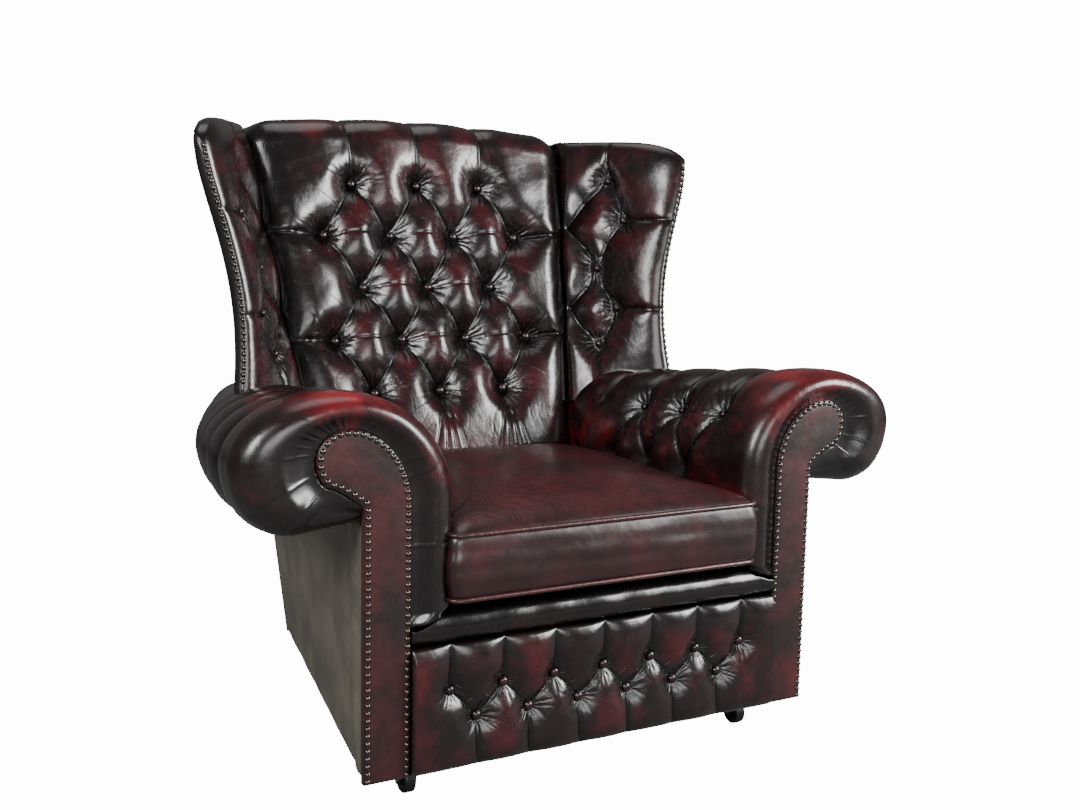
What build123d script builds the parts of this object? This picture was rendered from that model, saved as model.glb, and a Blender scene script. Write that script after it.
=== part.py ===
from build123d import *
import math
import os

# Chesterfield wing chair, in millimetres, +Z up, front facing -Y.
# Lengths along Y are first measured back from the front plane of the arm facings,
# and every piece is moved at the end so that the origin is below the middle of the chair.
# Left and right are as seen by someone who stands in front of the chair.

# Overall sizes
crest_height = 1011
ground_gap = 48

# Body plan: straight front, sides that close in towards the back and lean outwards
front_half_width = 389
rear_half_width_foot = 256
rear_half_width_top = 350
rear_depth_foot = 722
rear_depth_top = 815
cover_thickness = 8
joint_gap = 0.3
side_gap = 1

# Arms
arm_foot_height = 262
arm_inner_x = 252
arm_roll_top = 600
arm_roll_reach = 567
pleat_pitch = 115
first_pleat = 125
pleat_count = 4
pleat_depth = 10
arm_button_share = 0.42
arm_rear = 765

# Scroll facing, on the front of each arm
facing_thickness = 12
facing_inner_x = 320
facing_neck_height = 440
scroll_top = (413, 549)
scroll_outer = (456, 508)
scroll_under = (432, 470)
scroll_corner = (391, 444)

# Seat
deck_height = 286
deck_thickness = 24
deck_half_width = 248
lip_seam_height = 235
lip_height = 283
cushion_bottom = 292
cushion_edge_height = 104
cushion_top_edge = cushion_bottom + cushion_edge_height
cushion_crown_height = 40
cushion_half_width = 248
cushion_front_half_width = 268
cushion_front = -24
cushion_swell = 7
cushion_neck = 16
cushion_rear = 522
welt_diameter = 7
welt_clearance = 1.2

# Tufted back
back_rake = 17.4
back_row_zero = (589, 513)
button_pitch = 131
row_pitch = 99
back_pad_thickness = 45
back_pillow_rise = 22
groove_floor = 6
back_side_at_seat = 262
back_side_flare = 0.1175
seat_reference_height = 424

# Tufted apron
apron_half_width = 318
apron_pitch = 86
apron_top_row = 165
apron_bottom_row = 121
apron_rise = 10

# Wings
wing_edge_thickness = 42
wing_rise = 14
wing_crease_out = 4
wing_front_in = -7
wing_turn = 12
wing_cap = 12

# Buttons and nails
button_diameter = 15
button_height = 6
nail_diameter = 9
nail_height = 3.5
nail_pitch = 11
nail_inset = 5
nail_standoff = 0.6
wing_nail_foot = 562
wing_nail_top = 936

# Timber
rail_thickness = 30
post_thickness = 30
upright_width = 32
frame_foot = 54
rail_top = 205

# Castors
castor_front = (300, 71)
castor_rear = (205, 640)
castor_trail = -13
wheel_diameter = 40
wheel_width = 20
axle_diameter = 5
stem_diameter = 8
socket_diameter = 12
socket_depth = 38
running_gap = 0.05

# Cylinders that stand on their base
standing = (Align.CENTER, Align.CENTER, Align.MIN)

# The origin lies midway between the front of the cushion and the rear of the back
back_panel_height = 990
rear_slope = (rear_depth_top - rear_depth_foot) / (1000 - ground_gap)
rear_most = rear_depth_foot + rear_slope * (back_panel_height - ground_gap)
origin_depth = (rear_most + cushion_front - cushion_swell) / 2

os.makedirs("parts", exist_ok=True)
node_shapes = {}


def keep(name, shape):
    """Store one piece, moved from the facing plane to the part's own origin."""
    moved = Location((0, -origin_depth, 0)) * shape
    node_shapes[name] = moved
    return shape


def keep_pair(name, shape):
    """Store a right-hand piece and its mirror image."""
    keep(name + "_right", shape)
    keep(name + "_left", mirror(shape, about=Plane.YZ))
    return shape


def box_between(low, high):
    """A box given by two opposite corners."""
    size = [abs(b - a) for a, b in zip(low, high)]
    middle = [(a + b) / 2 for a, b in zip(low, high)]
    return Location(middle) * Box(*size)


def polygon_wire(points):
    """A closed wire through points in space."""
    return Wire.make_polygon([Vector(*p) for p in points], close=True)


def ruled(wires):
    """A solid with straight rulings from each section to the next."""
    return Solid.make_loft(wires, True)


def side_prism(profile, half_width):
    """A profile of (depth, height) points carried across the chair."""
    wires = [polygon_wire([(x, y, z) for y, z in profile]) for x in (-half_width, half_width)]
    return ruled(wires)


def upright_prism(outline, low, high):
    """A plan outline of (x, y) points carried from one height to another."""
    return ruled([polygon_wire([(x, y, z) for x, y in outline]) for z in (low, high)])


# The outer surfaces of the body

def rear_share(height):
    return (height - ground_gap) / (1000 - ground_gap)


def rear_depth(height):
    return rear_depth_foot + rear_share(height) * (rear_depth_top - rear_depth_foot)


def rear_half_width(height):
    return rear_half_width_foot + rear_share(height) * (rear_half_width_top - rear_half_width_foot)


def side_x(depth, height):
    """Half width of the body at a depth behind the facings."""
    return front_half_width + depth / rear_depth(height) * (rear_half_width(height) - front_half_width)


def back_side_x(height):
    """Half width of the padded inside back."""
    return back_side_at_seat + back_side_flare * (height - seat_reference_height)


def behind_back():
    """Everything behind the front of the outside back panel."""
    low, high = 0, 1100
    front = cover_thickness + joint_gap
    profile = [(rear_depth(low) - front, low), (rear_depth(high) - front, high), (1200, high), (1200, low)]
    return side_prism(profile, 800)


# Tufting: pillows with sloping sides rise from a pad, with grooves between them

pillow_steps = [(-3, 1.0), (0, 1.0), (0.55, 0.86), (0.9, 0.6), (1.0, 0.3)]


def pillow(place, outline, rise):
    """One pillow over an outline; place turns (u, v, height) into a point."""
    count = len(outline)
    middle_u = sum(u for u, v in outline) / count
    middle_v = sum(v for u, v in outline) / count
    reach = max(math.hypot(u - middle_u, v - middle_v) for u, v in outline)
    groove = 1 - 1.2 / reach
    wires = []
    for step, scale in pillow_steps:
        height = step if step < 0 else step * rise
        factor = scale * groove
        ring = [
            place(middle_u + (u - middle_u) * factor, middle_v + (v - middle_v) * factor, height)
            for u, v in outline
        ]
        wires.append(polygon_wire(ring))
    return ruled(wires)


def twisted_pillow(place, outline, rise):
    """A pillow on a twisted surface, closed with triangles, which stay flat."""
    count = len(outline)
    middle_u = sum(u for u, v in outline) / count
    middle_v = sum(v for u, v in outline) / count
    rings = []
    for step, scale in pillow_steps:
        height = step if step < 0 else step * rise
        factor = scale * 0.98
        rings.append([
            place(middle_u + (u - middle_u) * factor, middle_v + (v - middle_v) * factor, height)
            for u, v in outline
        ])
    triangles = []
    for low, high in zip(rings, rings[1:]):
        for i in range(count):
            j = (i + 1) % count
            triangles.append((low[i], low[j], high[j]))
            triangles.append((low[i], high[j], high[i]))
    for ring, step in ((rings[0], pillow_steps[0][0]), (rings[-1], rise)):
        centre = place(middle_u, middle_v, step)
        triangles += [(ring[i], ring[(i + 1) % count], centre) for i in range(count)]
    faces = [Face(polygon_wire(corners)) for corners in triangles]
    return Solid(Shell(faces))


def dome(diameter, height):
    """A round head that is flat below, on the XY plane."""
    radius = diameter / 2
    edge = height * 0.2
    rise = height - edge
    ball = (radius * radius + rise * rise) / (2 * rise)
    half_angle = math.asin(radius / ball) / 2
    middle = (ball * math.sin(half_angle), 0, height - ball + ball * math.cos(half_angle))
    profile = Wire([
        Line((0, 0, 0), (radius, 0, 0)),
        Line((radius, 0, 0), (radius, 0, edge)),
        ThreePointArc((radius, 0, edge), middle, (0, 0, height)),
        Line((0, 0, height), (0, 0, 0)),
    ])
    return revolve(Face(profile), Axis.Z, 360)


def heads(shape, places):
    """Copies of a head on (point, direction) pairs, each turned to face its direction."""
    return Compound(children=[Plane(origin=p, z_dir=d).location * shape for p, d in places])


def button_hole(point, outward):
    """The round pocket that a button sits in."""
    pocket = Cylinder(button_diameter / 2 + 1, 14, align=standing)
    return Plane(origin=point, z_dir=outward).location * pocket


# Arms

def arm_reach(depth):
    """Outermost X of the roll, which draws in towards the back."""
    run = max(depth - 30, 0)
    return arm_roll_reach - 0.10 * run - 0.000185 * run * run


def arm_points(depth, pinch):
    """The corner and arc points of one full arm section."""
    inner = arm_inner_x + 0.02 * max(depth, 0)
    shoulder = 445 - 0.05 * max(depth, 0)
    top = (420 - 0.125 * max(depth, 0), arm_roll_top - 0.105 * max(depth, 0) - pinch)
    outer = (arm_reach(depth) - pinch, 507 - 0.10 * max(depth, 0))
    under = (arm_reach(depth) - 85, 408 - 0.045 * max(depth, 0) + pinch * 0.5)
    corner_height = under[1] + 12
    corner = (side_x(depth, corner_height) - cover_thickness - side_gap, corner_height)
    foot = (side_x(depth, arm_foot_height) - cover_thickness - side_gap, arm_foot_height)
    return [(inner, arm_foot_height), (inner, shoulder), top, outer, under, corner, foot]


def facing_points():
    """The same points on the facing outline, where the padding starts."""
    return [
        (facing_inner_x + 2, arm_foot_height), (facing_inner_x + 2, facing_neck_height), scroll_top,
        scroll_outer, scroll_under, (scroll_corner[0] - 7, scroll_corner[1]),
        (front_half_width - cover_thickness - side_gap, arm_foot_height),
    ]


def quarter(start, end, corner):
    """A point on the round between two points, towards their corner."""
    share = 0.41
    return tuple((a + b) / 2 + share * (c - (a + b) / 2) for a, b, c in zip(start, end, corner))


def arm_section(depth, growth, pinch):
    """One closed section of the arm; growth 0 is the facing outline, 1 the full arm."""
    full = arm_points(depth, pinch)
    small = facing_points()
    pts = [tuple(s + growth * (f - s) for s, f in zip(a, b)) for a, b in zip(small, full)]
    foot_in, shoulder, top, outer, under, corner, foot_out = pts
    mid_shoulder = quarter(shoulder, top, (shoulder[0], top[1]))
    mid_top = quarter(top, outer, (outer[0], top[1]))
    mid_under = quarter(outer, under, (outer[0], under[1]))
    at = lambda p: (p[0], depth, p[1])
    return Wire([
        Line(at(foot_in), at(shoulder)),
        ThreePointArc(at(shoulder), at(mid_shoulder), at(top)),
        ThreePointArc(at(top), at(mid_top), at(outer)),
        ThreePointArc(at(outer), at(mid_under), at(under)),
        Line(at(under), at(corner)),
        Line(at(corner), at(foot_out)),
        Line(at(foot_out), at(foot_in)),
    ])


def facing_wire(inset, depth, foot):
    """The scroll outline in the plane of the facing."""
    inner = facing_inner_x + inset
    top = (scroll_top[0], scroll_top[1] - inset)
    outer = (scroll_outer[0] - inset, scroll_outer[1])
    under = (scroll_under[0] - inset, scroll_under[1] + inset)
    corner = (scroll_corner[0] - inset, scroll_corner[1] + inset)
    neck = (inner, facing_neck_height)
    mid_neck = (inner + 22, facing_neck_height + 64 - inset * 0.6)
    mid_top = quarter(top, outer, (outer[0], top[1]))
    mid_under = quarter(outer, under, (outer[0], under[1]))
    at = lambda p: (p[0], depth, p[1])
    outer_x = front_half_width - inset
    return Wire([
        Line(at((inner, foot)), at(neck)),
        ThreePointArc(at(neck), at(mid_neck), at(top)),
        ThreePointArc(at(top), at(mid_top), at(outer)),
        ThreePointArc(at(outer), at(mid_under), at(under)),
        Line(at(under), at(corner)),
        Line(at(corner), at((outer_x, corner[1] - 6))),
        Line(at((outer_x, corner[1] - 6)), at((outer_x, foot))),
        Line(at((outer_x, foot)), at((inner, foot))),
    ])


def facing_solid(inset, front, back, foot):
    return ruled([facing_wire(inset, front, foot), facing_wire(inset, back, foot)])


def timber_bar(start, end, size):
    """A bar with a square section that keeps level; start and end are its middle points."""
    wires = []
    for x, y, z in (start, end):
        half_x, half_z = size[0] / 2, size[1] / 2
        ring = [(x - half_x, y, z - half_z), (x + half_x, y, z - half_z), (x + half_x, y, z + half_z),
                (x - half_x, y, z + half_z)]
        wires.append(polygon_wire(ring))
    return ruled(wires)


def outside_arm_plan(front_height, rear_height):
    """Plan section of the outer arm cover; its top edge falls towards the back."""
    rear = rear_depth(rear_height) - cover_thickness - joint_gap
    outer_rear = side_x(rear, rear_height)
    front = facing_thickness
    outer_front = side_x(front, front_height)
    return [(outer_front, front, front_height), (outer_rear, rear, rear_height),
            (outer_rear - cover_thickness, rear, rear_height),
            (outer_front - cover_thickness, front, front_height)]


def roll_corner_height(depth):
    """Where the underside of the roll meets the outer cover."""
    return arm_points(depth, 0)[5][1] - 1.6


outside_arm = ruled([
    polygon_wire(outside_arm_plan(ground_gap, ground_gap)),
    polygon_wire(outside_arm_plan(roll_corner_height(facing_thickness), roll_corner_height(750))),
])
keep_pair("outside_arm", outside_arm)


# Frame of beech rails

post_front = facing_thickness
post_back = post_front + post_thickness
frame_rear = rear_depth_foot - cover_thickness - 4

arm_post = facing_solid(8, post_front, post_back, frame_foot) - outside_arm
keep_pair("arm_post", arm_post)

front_rail = box_between(
    (-facing_inner_x - 7, post_front, frame_foot), (facing_inner_x + 7, post_back, rail_top)
)
keep("front_rail", front_rail)

upright_foot_x = rear_half_width(frame_foot) - cover_thickness - upright_width
upright_head_height = 955


def upright_ring(height, lean_gap):
    outer = rear_half_width(height) - cover_thickness - lean_gap
    rear = rear_depth(height) - cover_thickness - 2
    inner = outer - upright_width
    front = rear - rail_thickness
    return polygon_wire([(inner, front, height), (outer, front, height), (outer, rear, height),
                         (inner, rear, height)])


back_upright = ruled([upright_ring(frame_foot, 2), upright_ring(upright_head_height, 6)])
keep_pair("back_upright", back_upright)

side_rail = timber_bar(
    (side_x(post_back, 100) - cover_thickness - 18, post_back, frame_foot + 45),
    (side_x(frame_rear - 34, 100) - cover_thickness - 18, frame_rear - 34, frame_foot + 45),
    (rail_thickness, 90),
)
keep_pair("side_rail", side_rail - back_upright - outside_arm)

arm_rail = timber_bar((392, post_back, 478), (302, rear_depth(450) - 46, 452), (36, 30))
keep_pair("arm_rail", arm_rail - back_upright)

rail_half = upright_foot_x + 0.5
back_rail = box_between(
    (-rail_half, frame_rear - rail_thickness, frame_foot), (rail_half, frame_rear, rail_top)
)
uprights = [back_upright, mirror(back_upright, about=Plane.YZ)]
keep("back_rail", back_rail - uprights)

tack_height = 300
tack_rear = rear_depth(tack_height) - cover_thickness - 6
tack_half = rear_half_width(tack_height) - cover_thickness - upright_width - 5
tacking_rail = box_between(
    (-tack_half, tack_rear - 22, tack_height), (tack_half, tack_rear, tack_height + 50)
)
keep("tacking_rail", tacking_rail - uprights)

crest_rear = rear_depth(900) - cover_thickness - 3
crest_half = rear_half_width(900) - cover_thickness - upright_width - 2
crest_rail = box_between((-crest_half, crest_rear - 26, 895), (crest_half, crest_rear, upright_head_height))
keep("crest_rail", crest_rail - uprights)

block_top = 120
block_reach = 75
rail_inner_front = side_x(post_back + 40, 100) - cover_thickness - 18 - rail_thickness / 2
rail_inner_rear = side_x(frame_rear - 60, 100) - cover_thickness - 18 - rail_thickness / 2


def corner_blocks():
    """Four blocks in the corners of the seat rails, which carry the castor sockets."""
    blocks = []
    front = [(rail_inner_front, post_back), (rail_inner_front - 105, post_back),
             (rail_inner_front - 60, post_back + block_reach),
             (rail_inner_front - 6, post_back + block_reach)]
    rear_edge = frame_rear - rail_thickness
    rear = [(rail_inner_rear + 4, rear_edge - 100), (rail_inner_rear - 62, rear_edge - 60),
            (rail_inner_rear - 80, rear_edge), (rail_inner_rear - 14, rear_edge)]
    for outline in (front, rear):
        block = upright_prism(outline, frame_foot, block_top) - back_upright - side_rail
        blocks.append(block)
        blocks.append(mirror(block, about=Plane.YZ))
    return blocks


# Zigzag seat springs, with their clips on the rails

spring_wire = 3.6
spring_height = 216
spring_front = 24
spring_rear = frame_rear - 12
spring_end = 18
spring_places = (-180, -90, 0, 90, 180)
spring_bends = 16
spring_swing = 22


def spring(centre):
    """One spring: a flat zigzag wire with round bends."""
    step = (spring_rear - spring_front - 2 * spring_end) / (spring_bends + 1)
    points = [(centre, spring_front, spring_height), (centre, spring_front + spring_end, spring_height)]
    for i in range(1, spring_bends + 1):
        side = spring_swing if i % 2 else -spring_swing
        points.append((centre + side, spring_front + spring_end + i * step, spring_height))
    points.append((centre, spring_rear - spring_end, spring_height))
    points.append((centre, spring_rear, spring_height))
    path = FilletPolyline(*points, radius=7)
    start = Plane(origin=path @ 0, z_dir=path % 0)
    return sweep(start * Circle(spring_wire / 2), path=path)


def spring_clips(centre):
    """The two clips that hold the ends of one spring to the rails."""
    clips = []
    for low, high in ((spring_front + 2, spring_front + 15), (spring_rear - 15, spring_rear - 2)):
        block = box_between((centre - 8, low, rail_top), (centre + 8, high, spring_height + 5))
        bore = Location((centre, (low + high) / 2, spring_height)) * Rotation(90, 0, 0) * Cylinder(
            spring_wire / 2 + running_gap, 40)
        clips.append(block - bore)
    return clips


# Tufted back

rake = math.radians(back_rake)


def back_point(u, v, height):
    """u across, v up the back from the lowest row of buttons, height proud of the buttons."""
    rise = height + groove_floor
    depth = back_row_zero[0] + v * math.sin(rake) - rise * math.cos(rake)
    level = back_row_zero[1] + v * math.cos(rake) + rise * math.sin(rake)
    return (u, depth, level)


def back_buttons_grid():
    """The five rows of buttons, three and four in turn, as (u, v)."""
    places = []
    for row in range(5):
        count = 3 if row % 2 == 0 else 4
        for i in range(count):
            places.append(((i - (count - 1) / 2) * button_pitch, row * row_pitch))
    return places


back_top_v = 478
back_foot_v = (cushion_top_edge + 8 - back_row_zero[1]) / math.cos(rake)
cell = button_pitch / 2


def back_edge_u(v):
    return back_side_x(back_row_zero[1] + v * math.cos(rake)) - 2


def back_cells():
    """Outlines of the pillows: diamonds, and the shapes that reach the edges."""
    cells = []
    for row in range(1, 4):
        v = row * row_pitch
        centres = (-2, 0, 2) if row % 2 else (-1, 1)
        for c in centres:
            u = c * cell
            cells.append([(u - cell, v), (u, v - row_pitch), (u + cell, v), (u, v + row_pitch)])
    top_row, low_row = 4 * row_pitch, 0
    for c in (-1, 1):
        u = c * cell
        cells.append([(u - cell, top_row), (u, top_row - row_pitch), (u + cell, top_row),
                      (u + cell, back_top_v), (u - cell, back_top_v)])
        cells.append([(u - cell, low_row), (u - cell, back_foot_v), (u + cell, back_foot_v),
                      (u + cell, low_row), (u, low_row + row_pitch)])
    for side in (-1, 1):
        inner, outer = side * 2 * cell, side * 3 * cell
        cells.append([(inner, top_row), (outer, top_row - row_pitch),
                      (side * back_edge_u(3 * row_pitch), top_row - row_pitch),
                      (side * back_edge_u(back_top_v), back_top_v), (inner, back_top_v)])
        cells.append([(inner, 2 * row_pitch), (outer, row_pitch), (side * back_edge_u(row_pitch), row_pitch),
                      (side * back_edge_u(3 * row_pitch), 3 * row_pitch), (outer, 3 * row_pitch)])
        cells.append([(inner, low_row), (inner, back_foot_v), (side * back_edge_u(back_foot_v), back_foot_v),
                      (side * back_edge_u(row_pitch), row_pitch), (outer, row_pitch)])
    return cells


def inside_back():
    """The padded back: a raked pad that rolls over the crest, with its pillows."""
    _, front_y, front_z = back_point(0, back_foot_v, 0)
    _, head_y, head_z = back_point(0, back_top_v, 0)
    _, foot_y, foot_z = back_point(0, back_foot_v - 110, -back_pad_thickness)
    _, nape_y, nape_z = back_point(0, back_top_v - 40, -back_pad_thickness)
    rear_top = rear_depth(990) - cover_thickness - joint_gap
    rear_low = rear_depth(958) - cover_thickness - joint_gap
    profile = [(front_y, front_z), (head_y, head_z), (head_y + 10, crest_height - 14),
               (head_y + 32, crest_height), (rear_top - 22, crest_height), (rear_top, crest_height - 18),
               (rear_low, 957), (nape_y + 6, 957), (nape_y, nape_z), (foot_y, foot_z),
               (cushion_rear + 8, foot_z), (cushion_rear + 12, front_z - 12)]
    pad = side_prism(profile, 380)
    foot_x, head_x = back_side_x(200), back_side_x(996)
    outline = [(-foot_x, 200), (foot_x, 200), (head_x, 996), (150, crest_height - 4),
               (0, crest_height + 0.5), (-150, crest_height - 4), (-head_x, 996)]
    mask = ruled([polygon_wire([(x, y, z) for x, z in outline]) for y in (300, 900)])
    pad = pad & mask
    pad = pad.fuse(*[pillow(back_point, c, back_pillow_rise) for c in back_cells()])
    holes = []
    for u, v in back_buttons_grid():
        place = Plane(origin=back_point(u, v, -groove_floor), z_dir=back_normal)
        holes.append(place.location * Cylinder(button_diameter / 2 + 1.5, 12, align=standing))
    return pad - holes


back_normal = (0, -math.cos(rake), math.sin(rake))


# Wings

def wing_front(height):
    """The nailed front edge of the wing at a height, as (x, depth)."""
    share = (height - 556) / (947 - 556)
    upright = max(0, 1 - (max(share, 0) / 0.9) ** 2.6)
    bow = 26 * 4 * share * (1 - share) * upright
    return (418 + 48 * share - bow, 447 + 39 * share + 0.3 * bow)


def wing_crease(height):
    """Where the wing meets the inside back, as (x, depth)."""
    _, depth, _ = back_point(0, (height - back_row_zero[1]) / math.cos(rake), 0)
    return (back_side_x(height) + 1, depth)


def wing_frame_at(height):
    """Crease, front edge and the unit directions along and across the wing."""
    crease, front = wing_crease(height), wing_front(height)
    run = math.hypot(front[0] - crease[0], front[1] - crease[1])
    along = ((front[0] - crease[0]) / run, (front[1] - crease[1]) / run)
    across = (-along[1], along[0])
    return crease, front, along, across, run


def wing_point(s, height, proud):
    """s is 0 at the crease and 1 at the front edge; proud is towards the sitter."""
    crease, front, along, across, run = wing_frame_at(height)
    slope = (wing_crease_out - wing_front_in) * s * run / (run - wing_turn)
    out = wing_crease_out - slope - proud
    x = crease[0] + s * run * along[0] + across[0] * out
    y = crease[1] + s * run * along[1] + across[1] * out
    return (x, y, height)


wing_levels = (500, 556, 620, 680, 740, 800, 850, 908, 950, 1000)


def wing_plan(height, kind):
    """Plan section of the inner pad, the board or the outer cover at one height."""
    crease, front, along, across, run = wing_frame_at(height)
    half = wing_edge_thickness / 2
    rear = (rear_half_width(height), rear_depth(height) - cover_thickness - joint_gap)

    def at(base, forward, out):
        x = base[0] + along[0] * forward + across[0] * out
        y = base[1] + along[1] * forward + across[1] * out
        return (x, y, height)

    inner = wing_front_in
    seam = 2
    board_in, board_out = -2, half - cover_thickness - 1
    if kind == "pad":
        return [at(crease, 0, wing_crease_out), at(front, -wing_turn, inner), at(front, -3, inner + 2),
                at(front, 0, seam), at(front, -17, seam), at(front, -17, board_in), at(crease, 0, 15)]
    if kind == "board":
        return [at(crease, 14, 14), at(front, -17.3, board_in + 0.3), at(front, -17.3, board_out),
                at(crease, 26, 32)]
    if kind == "cap":
        return [at(crease, 0, wing_crease_out), at(front, -wing_turn, inner), at(front, -3, inner + 2),
                at(front, 0, seam), at(front, -17, seam), at(front, -17, board_out),
                (rear[0] - cover_thickness - 0.4, rear[1], height), (crease[0], rear[1], height)]
    return [at(front, 0, seam + joint_gap), at(front, -3, half - 8), at(front, -12, half),
            (rear[0], rear[1], height), (rear[0] - cover_thickness, rear[1], height),
            at(front, -17, board_out + joint_gap), at(front, -17, seam + joint_gap)]


def wing_mask(drop):
    """Side outline of the wing: a nearly level top with a tight round corner at the front."""
    head = wing_top_height - drop
    front = 380
    profile = [(front, 480), (900, 480), (900, head), (600, head - 1.5), (550, head - 6), (522, head - 13),
               (505, head - 22), (495, head - 32), (489, head - 42), (486, head - 55), (484, head - 66),
               (front, head - 90)]
    return ruled([polygon_wire([(x, y, z) for y, z in profile]) for x in (200, 600)])


wing_top_height = 992
wing_button_places = ((0.40, 911), (0.56, 834), (0.34, 740), (0.54, 666), (0.335, 594))
wing_crease_heights = (817, 660)


def wing_cells():
    """Outlines of the wing pillows as (s, height)."""
    w1, w2, w3, w4, w5 = wing_button_places
    c1, c2 = [(0.09, h) for h in wing_crease_heights]
    head, foot = 962, 545
    front, rear = 0.95, 0.06
    return [
        [w1, w2, (front, 838), (front, 925), (0.84, head - 6), (0.42, head)],
        [(rear, 817), c1, w1, (0.42, head), (rear, head)],
        [c1, w3, w2, w1],
        [w3, w4, (front, 668), (front, 838), w2],
        [(rear, 660), c2, w3, c1, (rear, 817)],
        [c2, w5, w4, w3],
        [w5, (0.33, foot), (front, foot), (front, 668), w4],
        [(rear, foot), (0.33, foot), w5, c2, (rear, 660)],
    ]


def wing_solid(kind, drop):
    """One layer of the wing, cut to the side outline less the drop."""
    return ruled([polygon_wire(wing_plan(h, kind)) for h in wing_levels]) & wing_mask(drop)


# Seat cushion

def cushion_ring(height, inset, swell):
    """One level outline of the cushion, wider in front of the arms."""
    half = cushion_half_width - inset
    front_half = cushion_front_half_width - inset
    front = cushion_front - swell + inset
    neck = cushion_neck + inset
    rear = cushion_rear - inset
    corners = [(-front_half, front), (front_half, front), (half, neck), (half, rear), (-half, rear),
               (-half, neck)]
    radii = [24, 24, 40, 30, 30, 40]
    outline = FilletPolyline(*[(x, y, height) for x, y in corners], radius=radii, close=True)
    return Wire(outline.edges())


welt_groove = welt_diameter * 0.6
bottom_welt_height = cushion_bottom + 9
top_welt_height = cushion_top_edge - 2


def build_cushion():
    """The cushion cover with its crown, and its foam core."""
    lip = welt_diameter * 0.55
    levels = [
        (cushion_bottom, 14, 0), (bottom_welt_height - lip, welt_groove, 0),
        (bottom_welt_height + lip, welt_groove, 0), (bottom_welt_height + 16, 0, 3),
        (cushion_bottom + 54, 0, cushion_swell), (top_welt_height - 16, 0, 3),
        (top_welt_height - lip, welt_groove, 0), (top_welt_height + lip, welt_groove, 0),
        (cushion_top_edge + 8, 14, 0), (cushion_top_edge + 18, 38, 0), (cushion_top_edge + 28, 75, 0),
        (cushion_top_edge + 35, 118, 0), (cushion_top_edge + cushion_crown_height, 175, 0),
    ]
    outer = ruled([cushion_ring(z, inset, swell) for z, inset, swell in levels])
    core = box_between((-205, 20, cushion_bottom + 14), (205, cushion_rear - 40, cushion_top_edge + 4))
    notches = []
    for height in (bottom_welt_height, top_welt_height):
        for side in (-1, 1):
            notches.append(box_between(
                (side * (cushion_half_width - welt_groove + 0.6), cushion_neck - 22, height - lip),
                (side * (cushion_half_width + 12), cushion_neck + 12, height + lip)))
    return outer - core - notches, core


def welt(height):
    """A piped edge: a cord that runs round the cushion in its groove."""
    path = cushion_ring(height, welt_groove - welt_diameter / 2 - welt_clearance, 0)
    start = Plane(origin=path @ 0, z_dir=path % 0)
    return sweep(start * Circle(welt_diameter / 2), path=path)


# Castors

def castor(place):
    """Socket, fork with its stem, axle and wheel of one castor, as separate solids."""
    x, y = place
    at = Location((x, y, 0))
    axle_height = wheel_diameter / 2
    plate = 46
    trail = Location((0, castor_trail, axle_height))
    across = Rotation(0, 90, 0)
    flange = Location((0, 0, ground_gap + 1.5)) * Cylinder(11, 2, align=standing)
    sleeve = Location((0, 0, ground_gap + 3)) * Cylinder(socket_diameter / 2, socket_depth, align=standing)
    bore = Location((0, 0, plate)) * Cylinder(
        stem_diameter / 2 + running_gap, socket_depth + 2, align=standing)
    socket = flange + sleeve - bore
    bridge_low = wheel_diameter + 1.5
    bridge = box_between((-14, 12, bridge_low), (14, castor_trail - 8, bridge_low + 3.5))
    cheeks = []
    for side in (-1, 1):
        cheek_x = side * (wheel_width / 2 + 2.4)
        outline = [(8, bridge_low + 3.5), (castor_trail - 8, bridge_low + 3.5),
                   (castor_trail - 7, axle_height - 7), (castor_trail + 7, axle_height - 7)]
        wires = [polygon_wire([(cheek_x + t, py, pz) for py, pz in outline]) for t in (-1.3, 1.3)]
        cheeks.append(ruled(wires))
    stem = Location((0, 0, bridge_low)) * Cylinder(stem_diameter / 2, 40, align=standing)
    collar = Location((0, 0, bridge_low + 3)) * Cylinder(8, 2.2, align=standing)
    hole = trail * across * Cylinder(axle_diameter / 2, 40)
    fork = (bridge + cheeks + stem + collar) - hole
    axle = trail * across * Cylinder(axle_diameter / 2, wheel_width + 10)
    hub, half = axle_diameter / 2 + running_gap, wheel_width / 2
    low_edge, high_edge = (axle_height - 4, -half + 0.8, 0), (axle_height - 4, half - 0.8, 0)
    low_tread, high_tread = (axle_height, -half + 4.8, 0), (axle_height, half - 4.8, 0)
    tread = Wire([
        Line((hub, -half + 0.8, 0), low_edge),
        ThreePointArc(low_edge, (axle_height - 1.2, -half + 2, 0), low_tread),
        Line(low_tread, high_tread),
        ThreePointArc(high_tread, (axle_height - 1.2, half - 2, 0), high_edge),
        Line(high_edge, (hub, half - 0.8, 0)),
        Line((hub, half - 0.8, 0), (hub, -half + 0.8, 0)),
    ])
    wheel = trail * Rotation(0, 0, -90) * revolve(Face(tread), Axis.Y, 360)
    return at * socket, at * fork, at * axle, at * wheel


# Build the castors first, because the corner blocks are bored for their sockets

castor_places = {
    "front_left": (-castor_front[0], castor_front[1]),
    "front_right": castor_front,
    "rear_left": (-castor_rear[0], castor_rear[1]),
    "rear_right": castor_rear,
}
sockets = []
for corner_name, spot in castor_places.items():
    socket, fork, axle, wheel = castor(spot)
    sockets.append(socket)
    keep("castor_fork_" + corner_name, fork)
    keep("castor_axle_" + corner_name, axle)
    keep("castor_wheel_" + corner_name, wheel)
keep("castor_sockets", Compound(children=sockets))

socket_bores = [
    Location((x, y, ground_gap)) * Cylinder(socket_diameter / 2, socket_depth + 5,
                                            align=standing)
    for x, y in castor_places.values()
]
keep("corner_blocks", Compound(children=[block - socket_bores for block in corner_blocks()]))

keep("seat_springs", Compound(children=[spring(x) for x in spring_places]))
keep("spring_clips", Compound(children=[clip for x in spring_places for clip in spring_clips(x)]))

# Upholstery

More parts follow.
